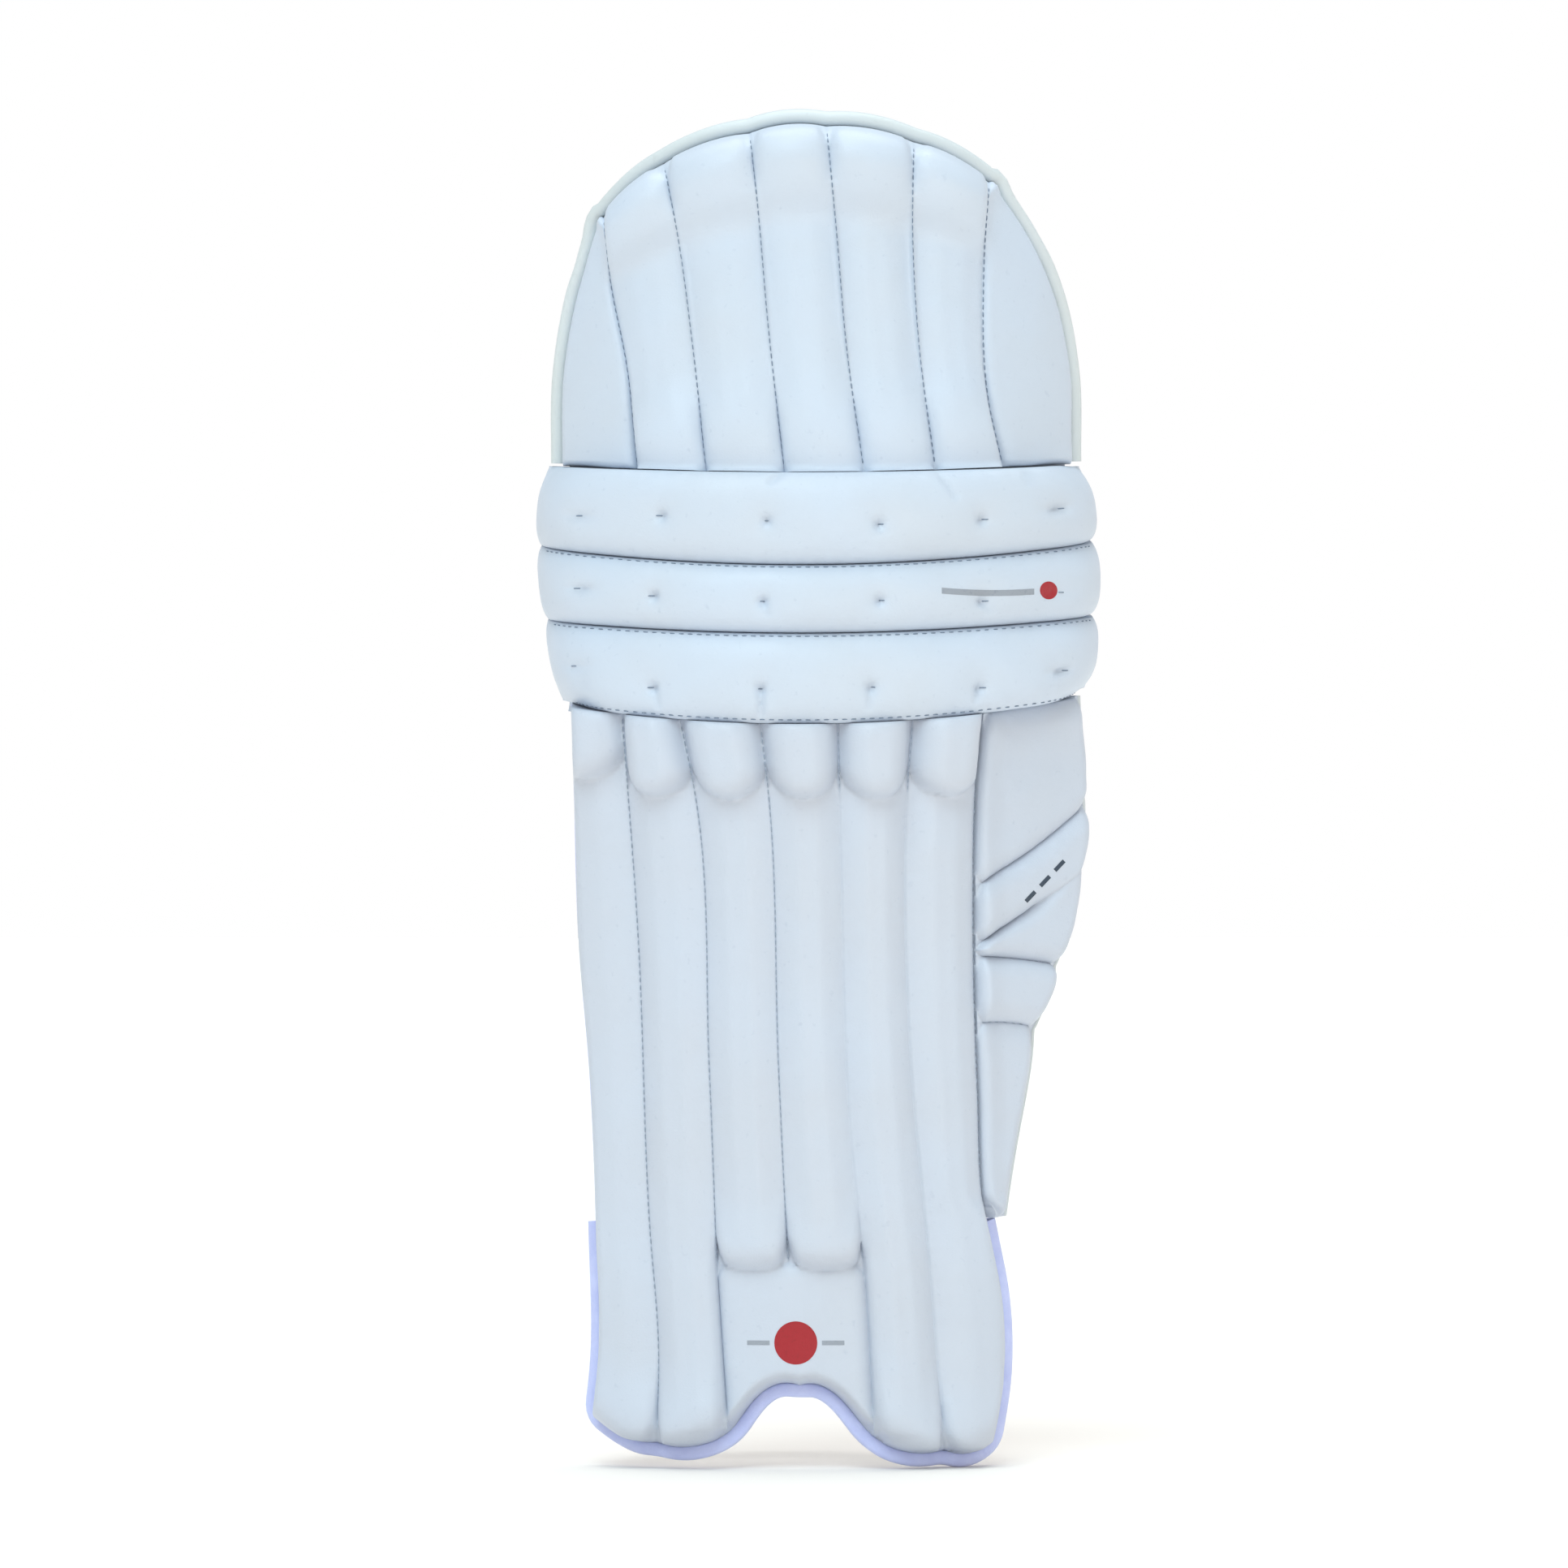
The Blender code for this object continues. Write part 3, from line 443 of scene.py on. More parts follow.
def stitches(name, lines, material):
    """Short threads along lines of points, given with a point a little above each of them."""
    shares = np.array((-0.5, -0.36, 0.0, 0.36, 0.5))
    widths = np.array((0.35, 0.9, 1.0, 0.9, 0.35))
    drops = np.array((-1.3, -0.35, 0.0, -0.35, -1.3))
    angles = np.arange(6) * math.tau / 6
    corners = np.arange(24).reshape(4, 6)
    following = np.roll(corners, -1, axis=1)
    sides = np.stack((corners, following, following + 6, corners + 6), axis=-1).reshape(-1, 4)
    caps = [np.arange(6)[::-1], np.arange(24, 30)]
    points, faces = [], []
    for path, lifted in lines:
        tangent = unit(np.gradient(path, axis=0))
        normal = unit(lifted - path)
        across = np.cross(normal, tangent)
        for spot, along, up, side in zip(path, tangent, normal, across):
            faces += [(face + 30 * len(points)).tolist() for face in (*sides, *caps)]
            middles = spot + np.outer(shares * STITCH_LENGTH, along)
            middles += np.outer(drops * STITCH_RADIUS, up)
            ring = np.outer(np.cos(angles), side) + np.outer(np.sin(angles), up)
            points.append(middles[:, None] + STITCH_RADIUS * widths[:, None, None] * ring)
    return link_mesh(name, np.array(points), faces, material)


def sheet_line(x, height, offset, place=on_pad):
    """Line for stitches just above a path of places on the sheet."""
    x, height, offset = resample(np.stack((x, height, offset), axis=-1), STITCH_PITCH).T
    return place(x, height, offset + STITCH_LIFT), place(x, height, offset + 2 * STITCH_LIFT)


# ---------------------------------------------------------------- materials

class Shader:
    """One procedural material, with textures measured in metres on the object."""

    def __init__(self, name, roughness, sheen=0.0):
        self.material = bpy.data.materials.new(name)
        self.material.use_nodes = True
        self.tree = self.material.node_tree
        self.surface = self.tree.nodes["Principled BSDF"]
        self.surface.inputs["Roughness"].default_value = roughness
        self.surface.inputs["Sheen Weight"].default_value = sheen
        self.place = self.tree.nodes.new("ShaderNodeTexCoord").outputs["Object"]
        self.normal = None

    def node(self, kind, settings=None, **inputs):
        made = self.tree.nodes.new(kind)
        for key, value in (settings or {}).items():
            setattr(made, key, value)
        for key, value in inputs.items():
            socket = made.inputs[int(key[1:])] if key[1:].isdigit() else made.inputs[key]
            self.feed(socket, value)
        return made

    def feed(self, socket, value):
        if isinstance(value, bpy.types.NodeSocket):
            self.tree.links.new(value, socket)
        else:
            socket.default_value = value

    def noise(self, scale, detail=2.0, rough=0.5):
        made = self.node("ShaderNodeTexNoise", Vector=self.place, Scale=scale, Detail=detail,
                         Roughness=rough)
        return made.outputs["Fac"]

    def cells(self, scale, vector=None):
        made = self.node("ShaderNodeTexVoronoi", Vector=vector or self.place, Scale=scale)
        return made.outputs["Distance"]

    def stretched(self, x, y, z):
        made = self.node("ShaderNodeMapping", Vector=self.place, Scale=(x, y, z))
        return made.outputs["Vector"]

    def waves(self, scale, direction, distortion=0.0):
        made = self.node("ShaderNodeTexWave", {"bands_direction": direction}, Vector=self.place,
                         Scale=scale, Distortion=distortion)
        return made.outputs["Fac"]

    def math(self, operation, first, second):
        return self.node("ShaderNodeMath", {"operation": operation}, _0=first, _1=second).outputs[0]

    def spread(self, value, low, high, to_low=0.0, to_high=1.0):
        made = self.node("ShaderNodeMapRange", Value=value)
        for key, number in (("From Min", low), ("From Max", high), ("To Min", to_low),
                            ("To Max", to_high)):
            made.inputs[key].default_value = number
        return made.outputs["Result"]

    def blend(self, share, first, second):
        made = self.node("ShaderNodeMix", {"data_type": "RGBA"})
        for socket, value in zip((made.inputs[0], made.inputs[6], made.inputs[7]),
                                 (share, first, second)):
            if isinstance(value, tuple):
                value = (*value, 1.0)
            self.feed(socket, value)
        return made.outputs[2]

    def tint(self, pattern, low, high, first, second, most=1.0):
        """First colour, turning into the second as a pattern goes from low to high."""
        return self.blend(self.spread(pattern, low, high, 0.0, most), first, second)

    def attribute(self, name):
        return self.node("ShaderNodeAttribute", {"attribute_name": name}).outputs["Fac"]

    def bump(self, height, distance, strength=1.0):
        made = self.node("ShaderNodeBump", Height=height, Distance=distance, Strength=strength)
        if self.normal is not None:
            self.feed(made.inputs["Normal"], self.normal)
        self.normal = made.outputs["Normal"]

    def finish(self, color, roughness=None):
        self.feed(self.surface.inputs["Base Color"], color)
        if roughness is not None:
            self.feed(self.surface.inputs["Roughness"], roughness)
        if self.normal is not None:
            self.feed(self.surface.inputs["Normal"], self.normal)
        return self.material


def leather(name, light, shade, speck_and_seam_shade, grain=850.0, depth=0.00010):
    """Soft polyurethane leather: fine grain, faint mottling, and painted shade beside the seams, in the
    tufts and along the creases.
    """
    shader = Shader(name, 0.45)
    color = shader.tint(shader.noise(11.0, 4.0), 0.35, 0.65, light, shade)
    color = shader.tint(shader.noise(260.0, 2.0), 0.66, 0.80, color, speck_and_seam_shade, 0.25)
    # Painted shade: the skin's point attribute darkens the leather towards its darkest colour in seams,
    # tufts and creases; the same colour also gives sparse specks in the grain above.
    fold = shader.math("MULTIPLY", shader.attribute("painted_shade"),
                       shader.spread(shader.noise(120.0), 0.25, 0.75, 0.55, 1.0))
    color = shader.blend(fold, color, speck_and_seam_shade)
    shader.bump(shader.noise(42.0, 3.0), 0.0006, 0.5)
    shader.bump(shader.cells(grain), depth, 0.6)
    shader.bump(shader.noise(2600.0, 1.0), depth * 0.5, 0.5)
    gloss = shader.spread(shader.noise(30.0, 3.0), 0.3, 0.7, 0.40, 0.52)
    return shader.finish(color, gloss)


def suede(name, light, shade):
    """Brushed suede with a short uneven nap."""
    shader = Shader(name, 0.92, sheen=0.35)
    color = shader.tint(shader.noise(70.0, 5.0, 0.65), 0.3, 0.7, light, shade)
    shader.bump(shader.noise(1800.0, 4.0, 0.7), 0.0003, 0.8)
    return shader.finish(color)


def weave(name, light, shade):
    """Plain woven cloth: threads over and under along the height and across."""
    shader = Shader(name, 0.82, sheen=0.15)
    scale = 900 / 6.3
    upright = shader.waves(scale, "Z", 0.4)
    across = shader.waves(scale, "X", 0.4)
    cloth = shader.math("MULTIPLY", upright, across)
    color = shader.tint(cloth, 0.0, 0.6, shade, light)
    color = shader.tint(shader.noise(18.0, 4.0), 0.35, 0.7, color, shade, 0.35)
    shader.bump(cloth, 0.00018, 0.9)
    return shader.finish(color)


def air_mesh(name, light, hole_shade):
    """Open warp-knitted lining with rows of small round holes, painted dark as the shade inside them.
    """
    shader = Shader(name, 0.80, sheen=0.2)
    rows = shader.math("MULTIPLY", shader.waves(125.0, "X"), shader.waves(125.0, "Z"))
    holes = shader.spread(rows, 0.30, 0.55, 1.0, 0.0)
    # Painted shade: the holes take the dark colour, and the faint mottle below uses it as a darker
    # tone.
    color = shader.blend(holes, hole_shade, light)
    color = shader.tint(shader.noise(15.0, 3.0), 0.4, 0.7, color, hole_shade, 0.2)
    shader.bump(holes, 0.0006, 0.9)
    shader.bump(shader.noise(2200.0, 2.0), 0.0001, 0.6)
    return shader.finish(color)


def towelling(name, light, shade):
    """Brushed loop pile of the cushions."""
    shader = Shader(name, 0.95, sheen=0.5)
    loops = shader.cells(1150.0)
    color = shader.tint(loops, 0.15, 0.6, light, shade)
    color = shader.tint(shader.noise(24.0, 4.0), 0.35, 0.7, color, shade, 0.4)
    shader.bump(shader.noise(160.0, 3.0), 0.0006, 0.6)
    shader.bump(loops, -0.0004, 0.9)
    return shader.finish(color)


def webbing(name, light, shade):
    """Elastic webbing with ribs along the strap and a fine cross weave."""
    shader = Shader(name, 0.78, sheen=0.2)
    ribs = shader.waves(118.0, "Z")
    fine = shader.noise(1900.0, 2.0)
    color = shader.tint(ribs, 0.1, 0.8, shade, light)
    color = shader.tint(shader.noise(35.0, 3.0), 0.4, 0.75, color, shade, 0.3)
    shader.bump(ribs, 0.0004, 0.8)
    shader.bump(fine, 0.00015, 0.7)
    return shader.finish(color)


def hook_tape(name, light, shade):
    """Moulded tape covered with rows of tiny hooks."""
    shader = Shader(name, 0.55)
    hooks = shader.cells(900.0, shader.stretched(1.0, 1.0, 1.4))
    color = shader.tint(hooks, 0.1, 0.5, light, shade)
    shader.bump(hooks, -0.0006, 1.0)
    return shader.finish(color)


def thread(name, light, shade):
    """Twisted sewing thread."""
    shader = Shader(name, 0.7, sheen=0.2)
    color = shader.tint(shader.noise(900.0, 2.0), 0.3, 0.7, light, shade)
    shader.bump(shader.waves(1500.0, "DIAGONAL"), 0.0001, 0.8)
    return shader.finish(color)


def print_ink(name, light, shade):
    """Printed mark: flat colour, a little worn into the grain."""
    shader = Shader(name, 0.5)
    color = shader.tint(shader.noise(500.0, 3.0), 0.55, 0.8, light, shade)
    shader.bump(shader.cells(850.0), 0.0001, 0.6)
    return shader.finish(color)


def plain_floor(name, tone):
    """Nearly even matt floor."""
    shader = Shader(name, 0.9)
    darker = tuple(channel * 0.995 for channel in tone)
    color = shader.tint(shader.noise(3.0), 0.3, 0.7, tone, darker)
    return shader.finish(color)


LEATHER = leather("pad_leather", (0.57, 0.643, 0.747), (0.565, 0.623, 0.705), (0.36, 0.43, 0.54))
# The same leather as the pad, with painted shade: darker and greyer for the shin and the wing.
SHIN_LEATHER_PAINTED_SHADE = leather("shin_leather_painted_shade", (0.553, 0.605, 0.695), (0.548, 0.587, 0.662),
                       (0.36, 0.42, 0.52))
PIPING = leather("piping_leather", (0.64, 0.69, 0.71), (0.62, 0.66, 0.66), (0.50, 0.52, 0.52),
                 grain=1200.0, depth=0.00006)
SUEDE = suede("edge_suede", (0.60, 0.65, 0.95), (0.50, 0.55, 0.88))
CLOTH = weave("back_cloth", (0.80, 0.82, 0.84), (0.68, 0.71, 0.75))
MESH = air_mesh("lining_mesh", (0.76, 0.79, 0.83), (0.36, 0.40, 0.48))
TOWEL = towelling("cushion_towelling", (0.82, 0.83, 0.84), (0.68, 0.70, 0.73))
STRAP = webbing("strap_webbing", (0.82, 0.83, 0.85), (0.64, 0.66, 0.70))
LOOP = towelling("loop_pile", (0.78, 0.79, 0.81), (0.62, 0.64, 0.68))
HOOK = hook_tape("hook_tape", (0.66, 0.67, 0.70), (0.44, 0.46, 0.50))
THREAD = thread("seam_thread", (0.24, 0.31, 0.41), (0.16, 0.22, 0.31))
PALE_THREAD = thread("pale_thread", (0.38, 0.45, 0.54), (0.28, 0.34, 0.43))
RED_INK = print_ink("red_print", (0.36, 0.006, 0.014), (0.30, 0.006, 0.012))
GREY_INK = print_ink("grey_print", (0.30, 0.33, 0.38), (0.24, 0.27, 0.32))
DARK_INK = print_ink("dark_print", (0.03, 0.05, 0.08), (0.05, 0.07, 0.10))


def own(item, body, slot, *nodes):
    """Let a piece ride on a body and stand for CAD nodes, which it hides; slot is not used."""
    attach(item, body)
    if nodes:
        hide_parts(*nodes)
    return item


# ---------------------------------------------------------------- stuffing

def write_points(mesh, points):
    mesh.vertices.foreach_set("co", np.asarray(points, np.float32).ravel())
    mesh.update()


def read_points(mesh):
    points = np.empty(len(mesh.vertices) * 3, np.float32)
    mesh.vertices.foreach_get("co", points)
    return points.reshape(-1, 3).astype(float)


def keep_result(item):
    """Turn an object's modifiers into its mesh."""
    graph = bpy.context.evaluated_depsgraph_get()
    mesh = bpy.data.meshes.new_from_object(item.evaluated_get(graph), depsgraph=graph)
    item.modifiers.clear()
    old, name = item.data, item.data.name
    item.data = mesh
    bpy.data.meshes.remove(old)
    mesh.name = name


CUSHION_VOXEL = 0.004
CUSHION_PRESSURE = 4.0
CUSHION_SWELL = 0.004       # most that a cushion swells
CUSHION_FRAMES = 20


def plump(item):
    """Swell a cushion as cloth under pressure; what lies in front of its sewn side stays put."""
    remesh = item.modifiers.new("remesh", "REMESH")
    remesh.mode = "VOXEL"
    remesh.voxel_size = CUSHION_VOXEL
    keep_result(item)
    start = read_points(item.data)
    sewn = item.vertex_groups.new(name="sewn")
    _, _, offset = pad_place(start)
    sewn.add(np.flatnonzero(offset >= -CUSHION_START).tolist(), 1.0, "REPLACE")
    cloth = item.modifiers.new("cloth", "CLOTH")
    cloth.settings.vertex_group_mass = "sewn"
    cloth.settings.use_pressure = True
    cloth.settings.uniform_pressure_force = CUSHION_PRESSURE
    cloth.settings.effector_weights.gravity = 0.0
    cloth.point_cache.frame_end = CUSHION_FRAMES
    for frame_number in range(1, CUSHION_FRAMES + 1):
        bpy.context.scene.frame_set(frame_number)
    keep_result(item)
    moved = read_points(item.data) - start
    length = np.linalg.norm(moved, axis=1, keepdims=True)
    share = np.minimum(1, CUSHION_SWELL / np.maximum(length, 1e-9))
    write_points(item.data, start + moved * share)
    bpy.context.scene.frame_set(1)
    smooth = item.modifiers.new("smooth", "SUBSURF")
    smooth.levels = smooth.render_levels = 1
    keep_result(item)
    item.vertex_groups.clear()
    item.data.shade_smooth()


def make_cushion(name, x, height, front, depth, seam_share):
    """Plumped towelling cushion; seam_share tells how far it is drawn in at x and height."""
    cushion = grid_solid(name, on_pad(x, height, front), on_pad(x, height, -CUSHION_START - depth),
                         TOWEL)
    plump(cushion)
    x, height, offset = pad_place(read_points(cushion.data))
    deep = np.minimum(offset + CUSHION_START, 0)
    write_points(cushion.data, on_pad(x, height, offset - seam_share(x, height) * deep))
    return cushion


# ---------------------------------------------------------------- channels

class Channels:
    """Stuffed channels side by side; u counts them across and v runs up from 0 to 1."""

    def __init__(self, seams):
        self.curves = [smooth_curve(seam) for seam in seams]
        self.lows = np.array([seam[0][0] for seam in seams])
        self.starts = np.array([seam[0][1] for seam in seams])
        self.highs = np.array([seam[-1][0] for seam in seams])
        self.count = len(seams) - 1

    def split(self, u):
        channel = np.clip(np.floor(u).astype(int), 0, self.count - 1)
        return channel, u - channel

    def seam_x(self, number, height, floor):
        """x of seams at heights, for the offsets of their valleys; all of the same shape."""
        result = np.zeros(np.shape(height))
        for index, curve in enumerate(self.curves):
            chosen = number == index
            result[chosen] = curve(height[chosen])
        return behind_seen(result, floor)

    def rim(self, channel, share):
        """True beside the first and the last seam, which are outer edges."""
        return ((channel == 0) & (share < 0.5)) | ((channel == self.count - 1) & (share > 0.5))


def from_seam_to_seam(share):
    """Smooth share across a channel, level close to its two seams."""
    return smoothstep(share * 1.6 - 0.3)


def skin_columns(channels, steps):
    """Places across all channels, closer together beside the seams."""
    shares = spaced(steps + 1)[:-1]
    return np.concatenate([channel + shares for channel in range(channels)] + [[channels]])


def painted_seam_shade(distance):
    """Painted shade of the leather beside a seam: a thin dark line in its groove and a faint wider
    band.
    """
    return 0.36 * gauss(distance, 0.0007) + 0.04 * gauss(distance, 0.003)


def pucker(distance, along, pitch=0.0085):
    """Small gathers of the leather beside a seam, with an uneven beat."""
    wave = 0.5 + 0.5 * np.cos(math.tau * along / pitch + 2.1 * np.sin(along * 91.0))
    return -PUCKER * np.exp(-distance / 0.004) * wave * smoothstep(distance / 0.0008)


# ---------------------------------------------------------------- top flap

FLAP = Channels(TOP_SEAMS)
TOP_SWELL = smooth_curve(TOP_LENGTH)
FACET = smooth_curve(FACETS)
FLAP_LENGTH = 0.15          # about the length of a top baton
FLAP_LOW_END = 0.0290       # offset of the top batons where they meet the upper roll
FLAP_LOW_GAP = 0.0002       # between the flap and the upper roll


def flap_floor(number, v):
    """Offset of the flap's seams, which rise beside the bulbs and come down at the top."""
    floor = np.array(FLAP_FLOORS)[number] * (1 + 0.36 * ramp(v, 0.72, 0.84))
    return mix(SEAM_RISE, floor, rounded_rise((1 - v) * FLAP_LENGTH, 0.010))


def flap_place(u, v):
    """Sideways place, height and channel width on the flap."""
    channel, share = FLAP.split(u)
    lows = seam_height(3, FLAP.starts) + FLAP_LOW_GAP
    heights = [mix(lows[channel + side], FLAP.highs[channel + side], v) for side in (0, 1)]
    left, right = (FLAP.seam_x(channel + side, heights[side], flap_floor(channel + side, v))
                   for side in (0, 1))
    swell = 4 * share * (1 - share) * TOP_CROWN * v ** 6
    return mix(left, right, share), mix(heights[0], heights[1], share) + swell, right - left


def flap_rise(u, v):
    """Offset of the flap's outer surface and the painted shade beside its seams."""
    channel, share = FLAP.split(u)
    x, height, width = flap_place(u, v)
    side = np.minimum(share, 1 - share) * width
    low_end, high_end = v * FLAP_LENGTH, (1 - v) * FLAP_LENGTH
    flat = ramp(v, 0.14, 0.26) * ramp(v, 0.80, 0.66)
    section = mix(1 - 0.16 * (2 * share - 1) ** 2, FACET(share), flat)
    inner = (channel > 0) & (channel < 6)
    gentle = 0.30 + 0.42 * np.where(channel == 0, share, 1 - share) + 0.10 * ramp(v, 0.5, 0)
    full = SEAM_RISE + TOP_BATON * np.where(inner, TOP_SWELL(v) * section, gentle)
    floor = mix(flap_floor(channel, v), flap_floor(channel + 1, v), from_seam_to_seam(share))
    inside = smoothstep(side / 0.004)
    base = np.where(inner & (low_end < high_end), mix(floor, FLAP_LOW_END, inside), floor)
    offset = mix(floor, full, dome(side, high_end, mix(0.0065, 0.0036, flat), 0.017))
    offset = mix(base, offset, dome(1.0, low_end, 1.0, 0.004))
    outer = np.where(x < 0, channel, channel + 1)
    outer_floor = flap_floor(outer, v)
    outer_x = FLAP.seam_x(outer, height, outer_floor)
    offset = clear_of_edge(offset, x, outer_x, np.minimum(outer_floor, floor))
    dents = 0.0004 * soft_noise(x, height, 0.028, 3) + 0.0002 * soft_noise(x, height, 0.011, 4)
    calm = smoothstep(side / 0.006) * smoothstep(np.minimum(low_end * 2, high_end) / 0.008)
    offset = offset + dents * calm + pucker(side, height + 0.013 * channel)
    # The second result is painted shade beside the inner seams, none along the outer edges.
    return np.maximum(offset, LOWEST), np.where(FLAP.rim(channel, share), 0, painted_seam_shade(side))


def make_flap():
    """Everything that rides on the top flap."""
    u, v = np.meshgrid(skin_columns(7, 22), spaced(112, 0.6))
    x, height, _ = flap_place(u, v)
    # fold holds the painted shade beside the seams.
    offset, fold = flap_rise(u, v)
    skin = grid_solid("flap_skin", on_pad(x, height, offset), on_pad(x, height, SKIN_BACK), LEATHER,
                      fold)
    batons = [f"top_flap_baton_{number}" for number in range(1, 6)]
    own(skin, "top_flap", "pu_leather", "top_flap_facing", "top_flap_pad_left",
        "top_flap_pad_right", *batons)

    rise = np.linspace(0, 1, 30)[:-1]
    across = np.concatenate((np.zeros(29), np.linspace(0, 7, 141), np.full(29, 7)))
    up = np.concatenate((rise, np.ones(141), rise[::-1]))
    edge = resample(np.stack(flap_place(across, up)[:2], axis=-1), 0.003)
    turns = np.arange(14) * math.tau / 14
    circle = np.stack((PIPING_RADIUS * (1 + 1.05 * np.cos(turns)),
                       0.0024 + 1.35 * PIPING_RADIUS * np.sin(turns)), axis=-1)
    piping = edge_tube("flap_piping", edge, circle, PIPING)
    own(piping, "top_flap", "piping_leather", "top_flap_piping")

    u, v = np.meshgrid(np.linspace(0.02, 6.98, 71), np.linspace(0.004, 0.998, 40))
    x, height, _ = flap_place(u, v)
    quilt = 0.0006 * np.abs(np.sin(np.pi * u)) ** 0.5
    back = grid_solid("flap_back", on_pad(x, height, CLOTH_FRONT), on_pad(x, height, -BACKING - quilt),
                      CLOTH)
    own(back, "top_flap", "backing_fabric", "top_flap_backing")

    lines = []
    for seam in range(1, 7):
        u, v = np.full(90, float(seam)), np.linspace(0.02, 0.975, 90)
        x, height, _ = flap_place(u, v)
        lines.append(sheet_line(x, height, flap_rise(u, v)[0]))
    own(stitches("flap_stitches", lines, THREAD), "top_flap", "pu_leather")


# ---------------------------------------------------------------- knee rolls

def roll_place(number, u, v):
    """Sideways place, height and width of a knee roll, counted from the lowest."""
    corner = ROLL_CORNER * (2 * v - 1) ** 4
    left, right = mix(*ROLL_LEFT[number], v) + corner, mix(*ROLL_RIGHT[number], v) - corner
    x = mix(left, right, u)
    margin = 0.0001 + 0.0010 * smoothstep((np.abs(x) - 0.128) / 0.020)
    low = seam_height(number, x) + margin
    high = seam_height(number + 1, x) - margin
    return x, mix(low, high, v), high - low


def near_segment(x, height, start, end):
    """Distance from a segment and the place along it, from 0 to 1."""
    (x0, z0), (x1, z1) = start, end
    dx, dz = x1 - x0, z1 - z0
    along = np.clip(((x - x0) * dx + (height - z0) * dz) / (dx * dx + dz * dz), 0, 1)
    return np.hypot(x - x0 - along * dx, height - z0 - along * dz), along


def roll_rise(number, u, v):
    """Offset of a knee roll's outer surface and the painted shade in its seams, tufts and creases."""
    x, height, width = roll_place(number, u, v)
    length = ROLL_RIGHT[number][0] - ROLL_LEFT[number][0]
    side = np.minimum(v, 1 - v) * width
    from_end = np.minimum(u, 1 - u) * length
    end = np.minimum(u / ROLL_ROUND[0], (1 - u) / ROLL_ROUND[1]) * length
    upright = np.sqrt(np.clip(1 - (2 * v - 1) ** 2, 0, 1))
    ends = 1 - np.clip(1 - end, 0, 1) ** 2
    calm = upright * ends
    free_edge = ((number == 0) & (v < 0.5)) | ((number == 2) & (v > 0.5))
    at_end = np.where(free_edge, FREE_END_FLOOR, ROLL_END_FLOOR)
    in_middle = np.where(free_edge, FREE_FLOOR, ROLL_FLOOR)
    valley = mix(at_end, in_middle, smoothstep(from_end / 0.05))
    floor = mix(SEAM_RISE, valley, ends)
    dents = 0.0008 * soft_noise(x, height, 0.034, 11 + number)
    dents += 0.0003 * soft_noise(x, height, 0.013, 21 + number)
    offset = mix(floor, SEAM_RISE + KNEE_ROLL * ends, upright) + dents * calm
    seen_x = x * (1 + offset / PAD_RADIUS)
    # Painted shade beside the seams, fainter along a free edge.
    fold = painted_seam_shade(side) * np.where(free_edge, 0.15, 0.7)
    for tuft_x, tuft_z in TUFTS[number]:
        distance = np.hypot(seen_x - tuft_x, height - tuft_z)
        pull = TUFT_PULL * np.exp(-distance / TUFT_REACH)
        pull += TUFT_DIMPLE * gauss(distance, TUFT_DIMPLE_WIDTH)
        offset = offset - pull * calm
        # Painted shade in the dimple of each tuft.
        fold = fold + 0.3 * gauss(distance, 0.0012)
    for start, finish, depth in CREASES[number]:
        distance, along = near_segment(seen_x, height, start, finish)
        line = gauss(distance, CREASE_WIDTH) * np.sqrt(np.sin(np.pi * np.clip(along, 0.03, 1)))
        offset = offset - depth * line
        # Painted shade along each crease.
        fold = fold + 0.15 * line
    offset = offset + 1.6 * pucker(side, x + 0.2 + 0.004 * number, 0.0095)
    return np.maximum(offset, LOWEST), np.clip(fold, 0, 1)


def make_roll(number):
    """Everything that rides on one knee roll's body, apart from the knee strap's tab."""
    label = KNEE_ROLLS[number]
    body = f"knee_{label}"
    end = 0.36 * spaced(31, 0.9)[:16]
    columns = np.concatenate((end, np.linspace(0.18, 0.82, 150)[1:-1], 1 - end[::-1]))
    u, v = np.meshgrid(columns, spaced(44, 0.7))
    x, height, _ = roll_place(number, u, v)
    # fold holds the painted shade of the roll.
    offset, fold = roll_rise(number, u, v)
    cover = grid_solid(f"knee_roll_{label}", on_pad(x, height, offset), on_pad(x, height, SKIN_BACK),
                       LEATHER, fold)
    own(cover, body, "pu_leather", f"knee_roll_{label}_cover", f"knee_roll_{label}_core")

    u, v = np.meshgrid(np.linspace(0.006, 0.994, 90), np.linspace(0.0, 1.0, 16))
    x, height, _ = roll_place(number, u, v)
    back = grid_solid(f"knee_back_{label}", on_pad(x, height, CLOTH_FRONT),
                      on_pad(x, height, -BACKING), CLOTH)
    own(back, body, "backing_fabric", f"knee_roll_{label}_backing")
    make_knee_cushion(number, label, body)

    surface = BVHTree.FromObject(cover, bpy.context.evaluated_depsgraph_get())
    lines = []
    for tuft_x, tuft_z in TUFTS[number]:
        ends = ((tuft_x - TUFT_LENGTH, tuft_z), (tuft_x + TUFT_LENGTH, tuft_z))
        lines.append(cast_line(surface, ends))
    for share in ROLL_STITCHES[number]:
        u, v = np.linspace(0.06, 0.94, 200), np.full(200, share)
        x, height, _ = roll_place(number, u, v)
        lines.append(sheet_line(x, height, roll_rise(number, u, v)[0]))
    own(stitches(f"knee_stitches_{label}", lines, THREAD), body, "pu_leather")
    if label == "middle":
        printed_mark("roll_stripe", surface, (0.1010, 0.4672), 0.0250, 0.0016, 0.0, GREY_INK, body,
                     bend=0.0010)
        printed_mark("roll_dot", surface, (0.1340, 0.4690), 0.0048, 0.0048, 0.0, RED_INK, body,
                     round_mark=True)


def seen_from_front(surface, x, height):
    """Point and normal of a finished mesh where a straight look from the front meets it."""
    return surface.ray_cast(Vector((x, -1, height)), Vector((0, 1, 0)))[:2]


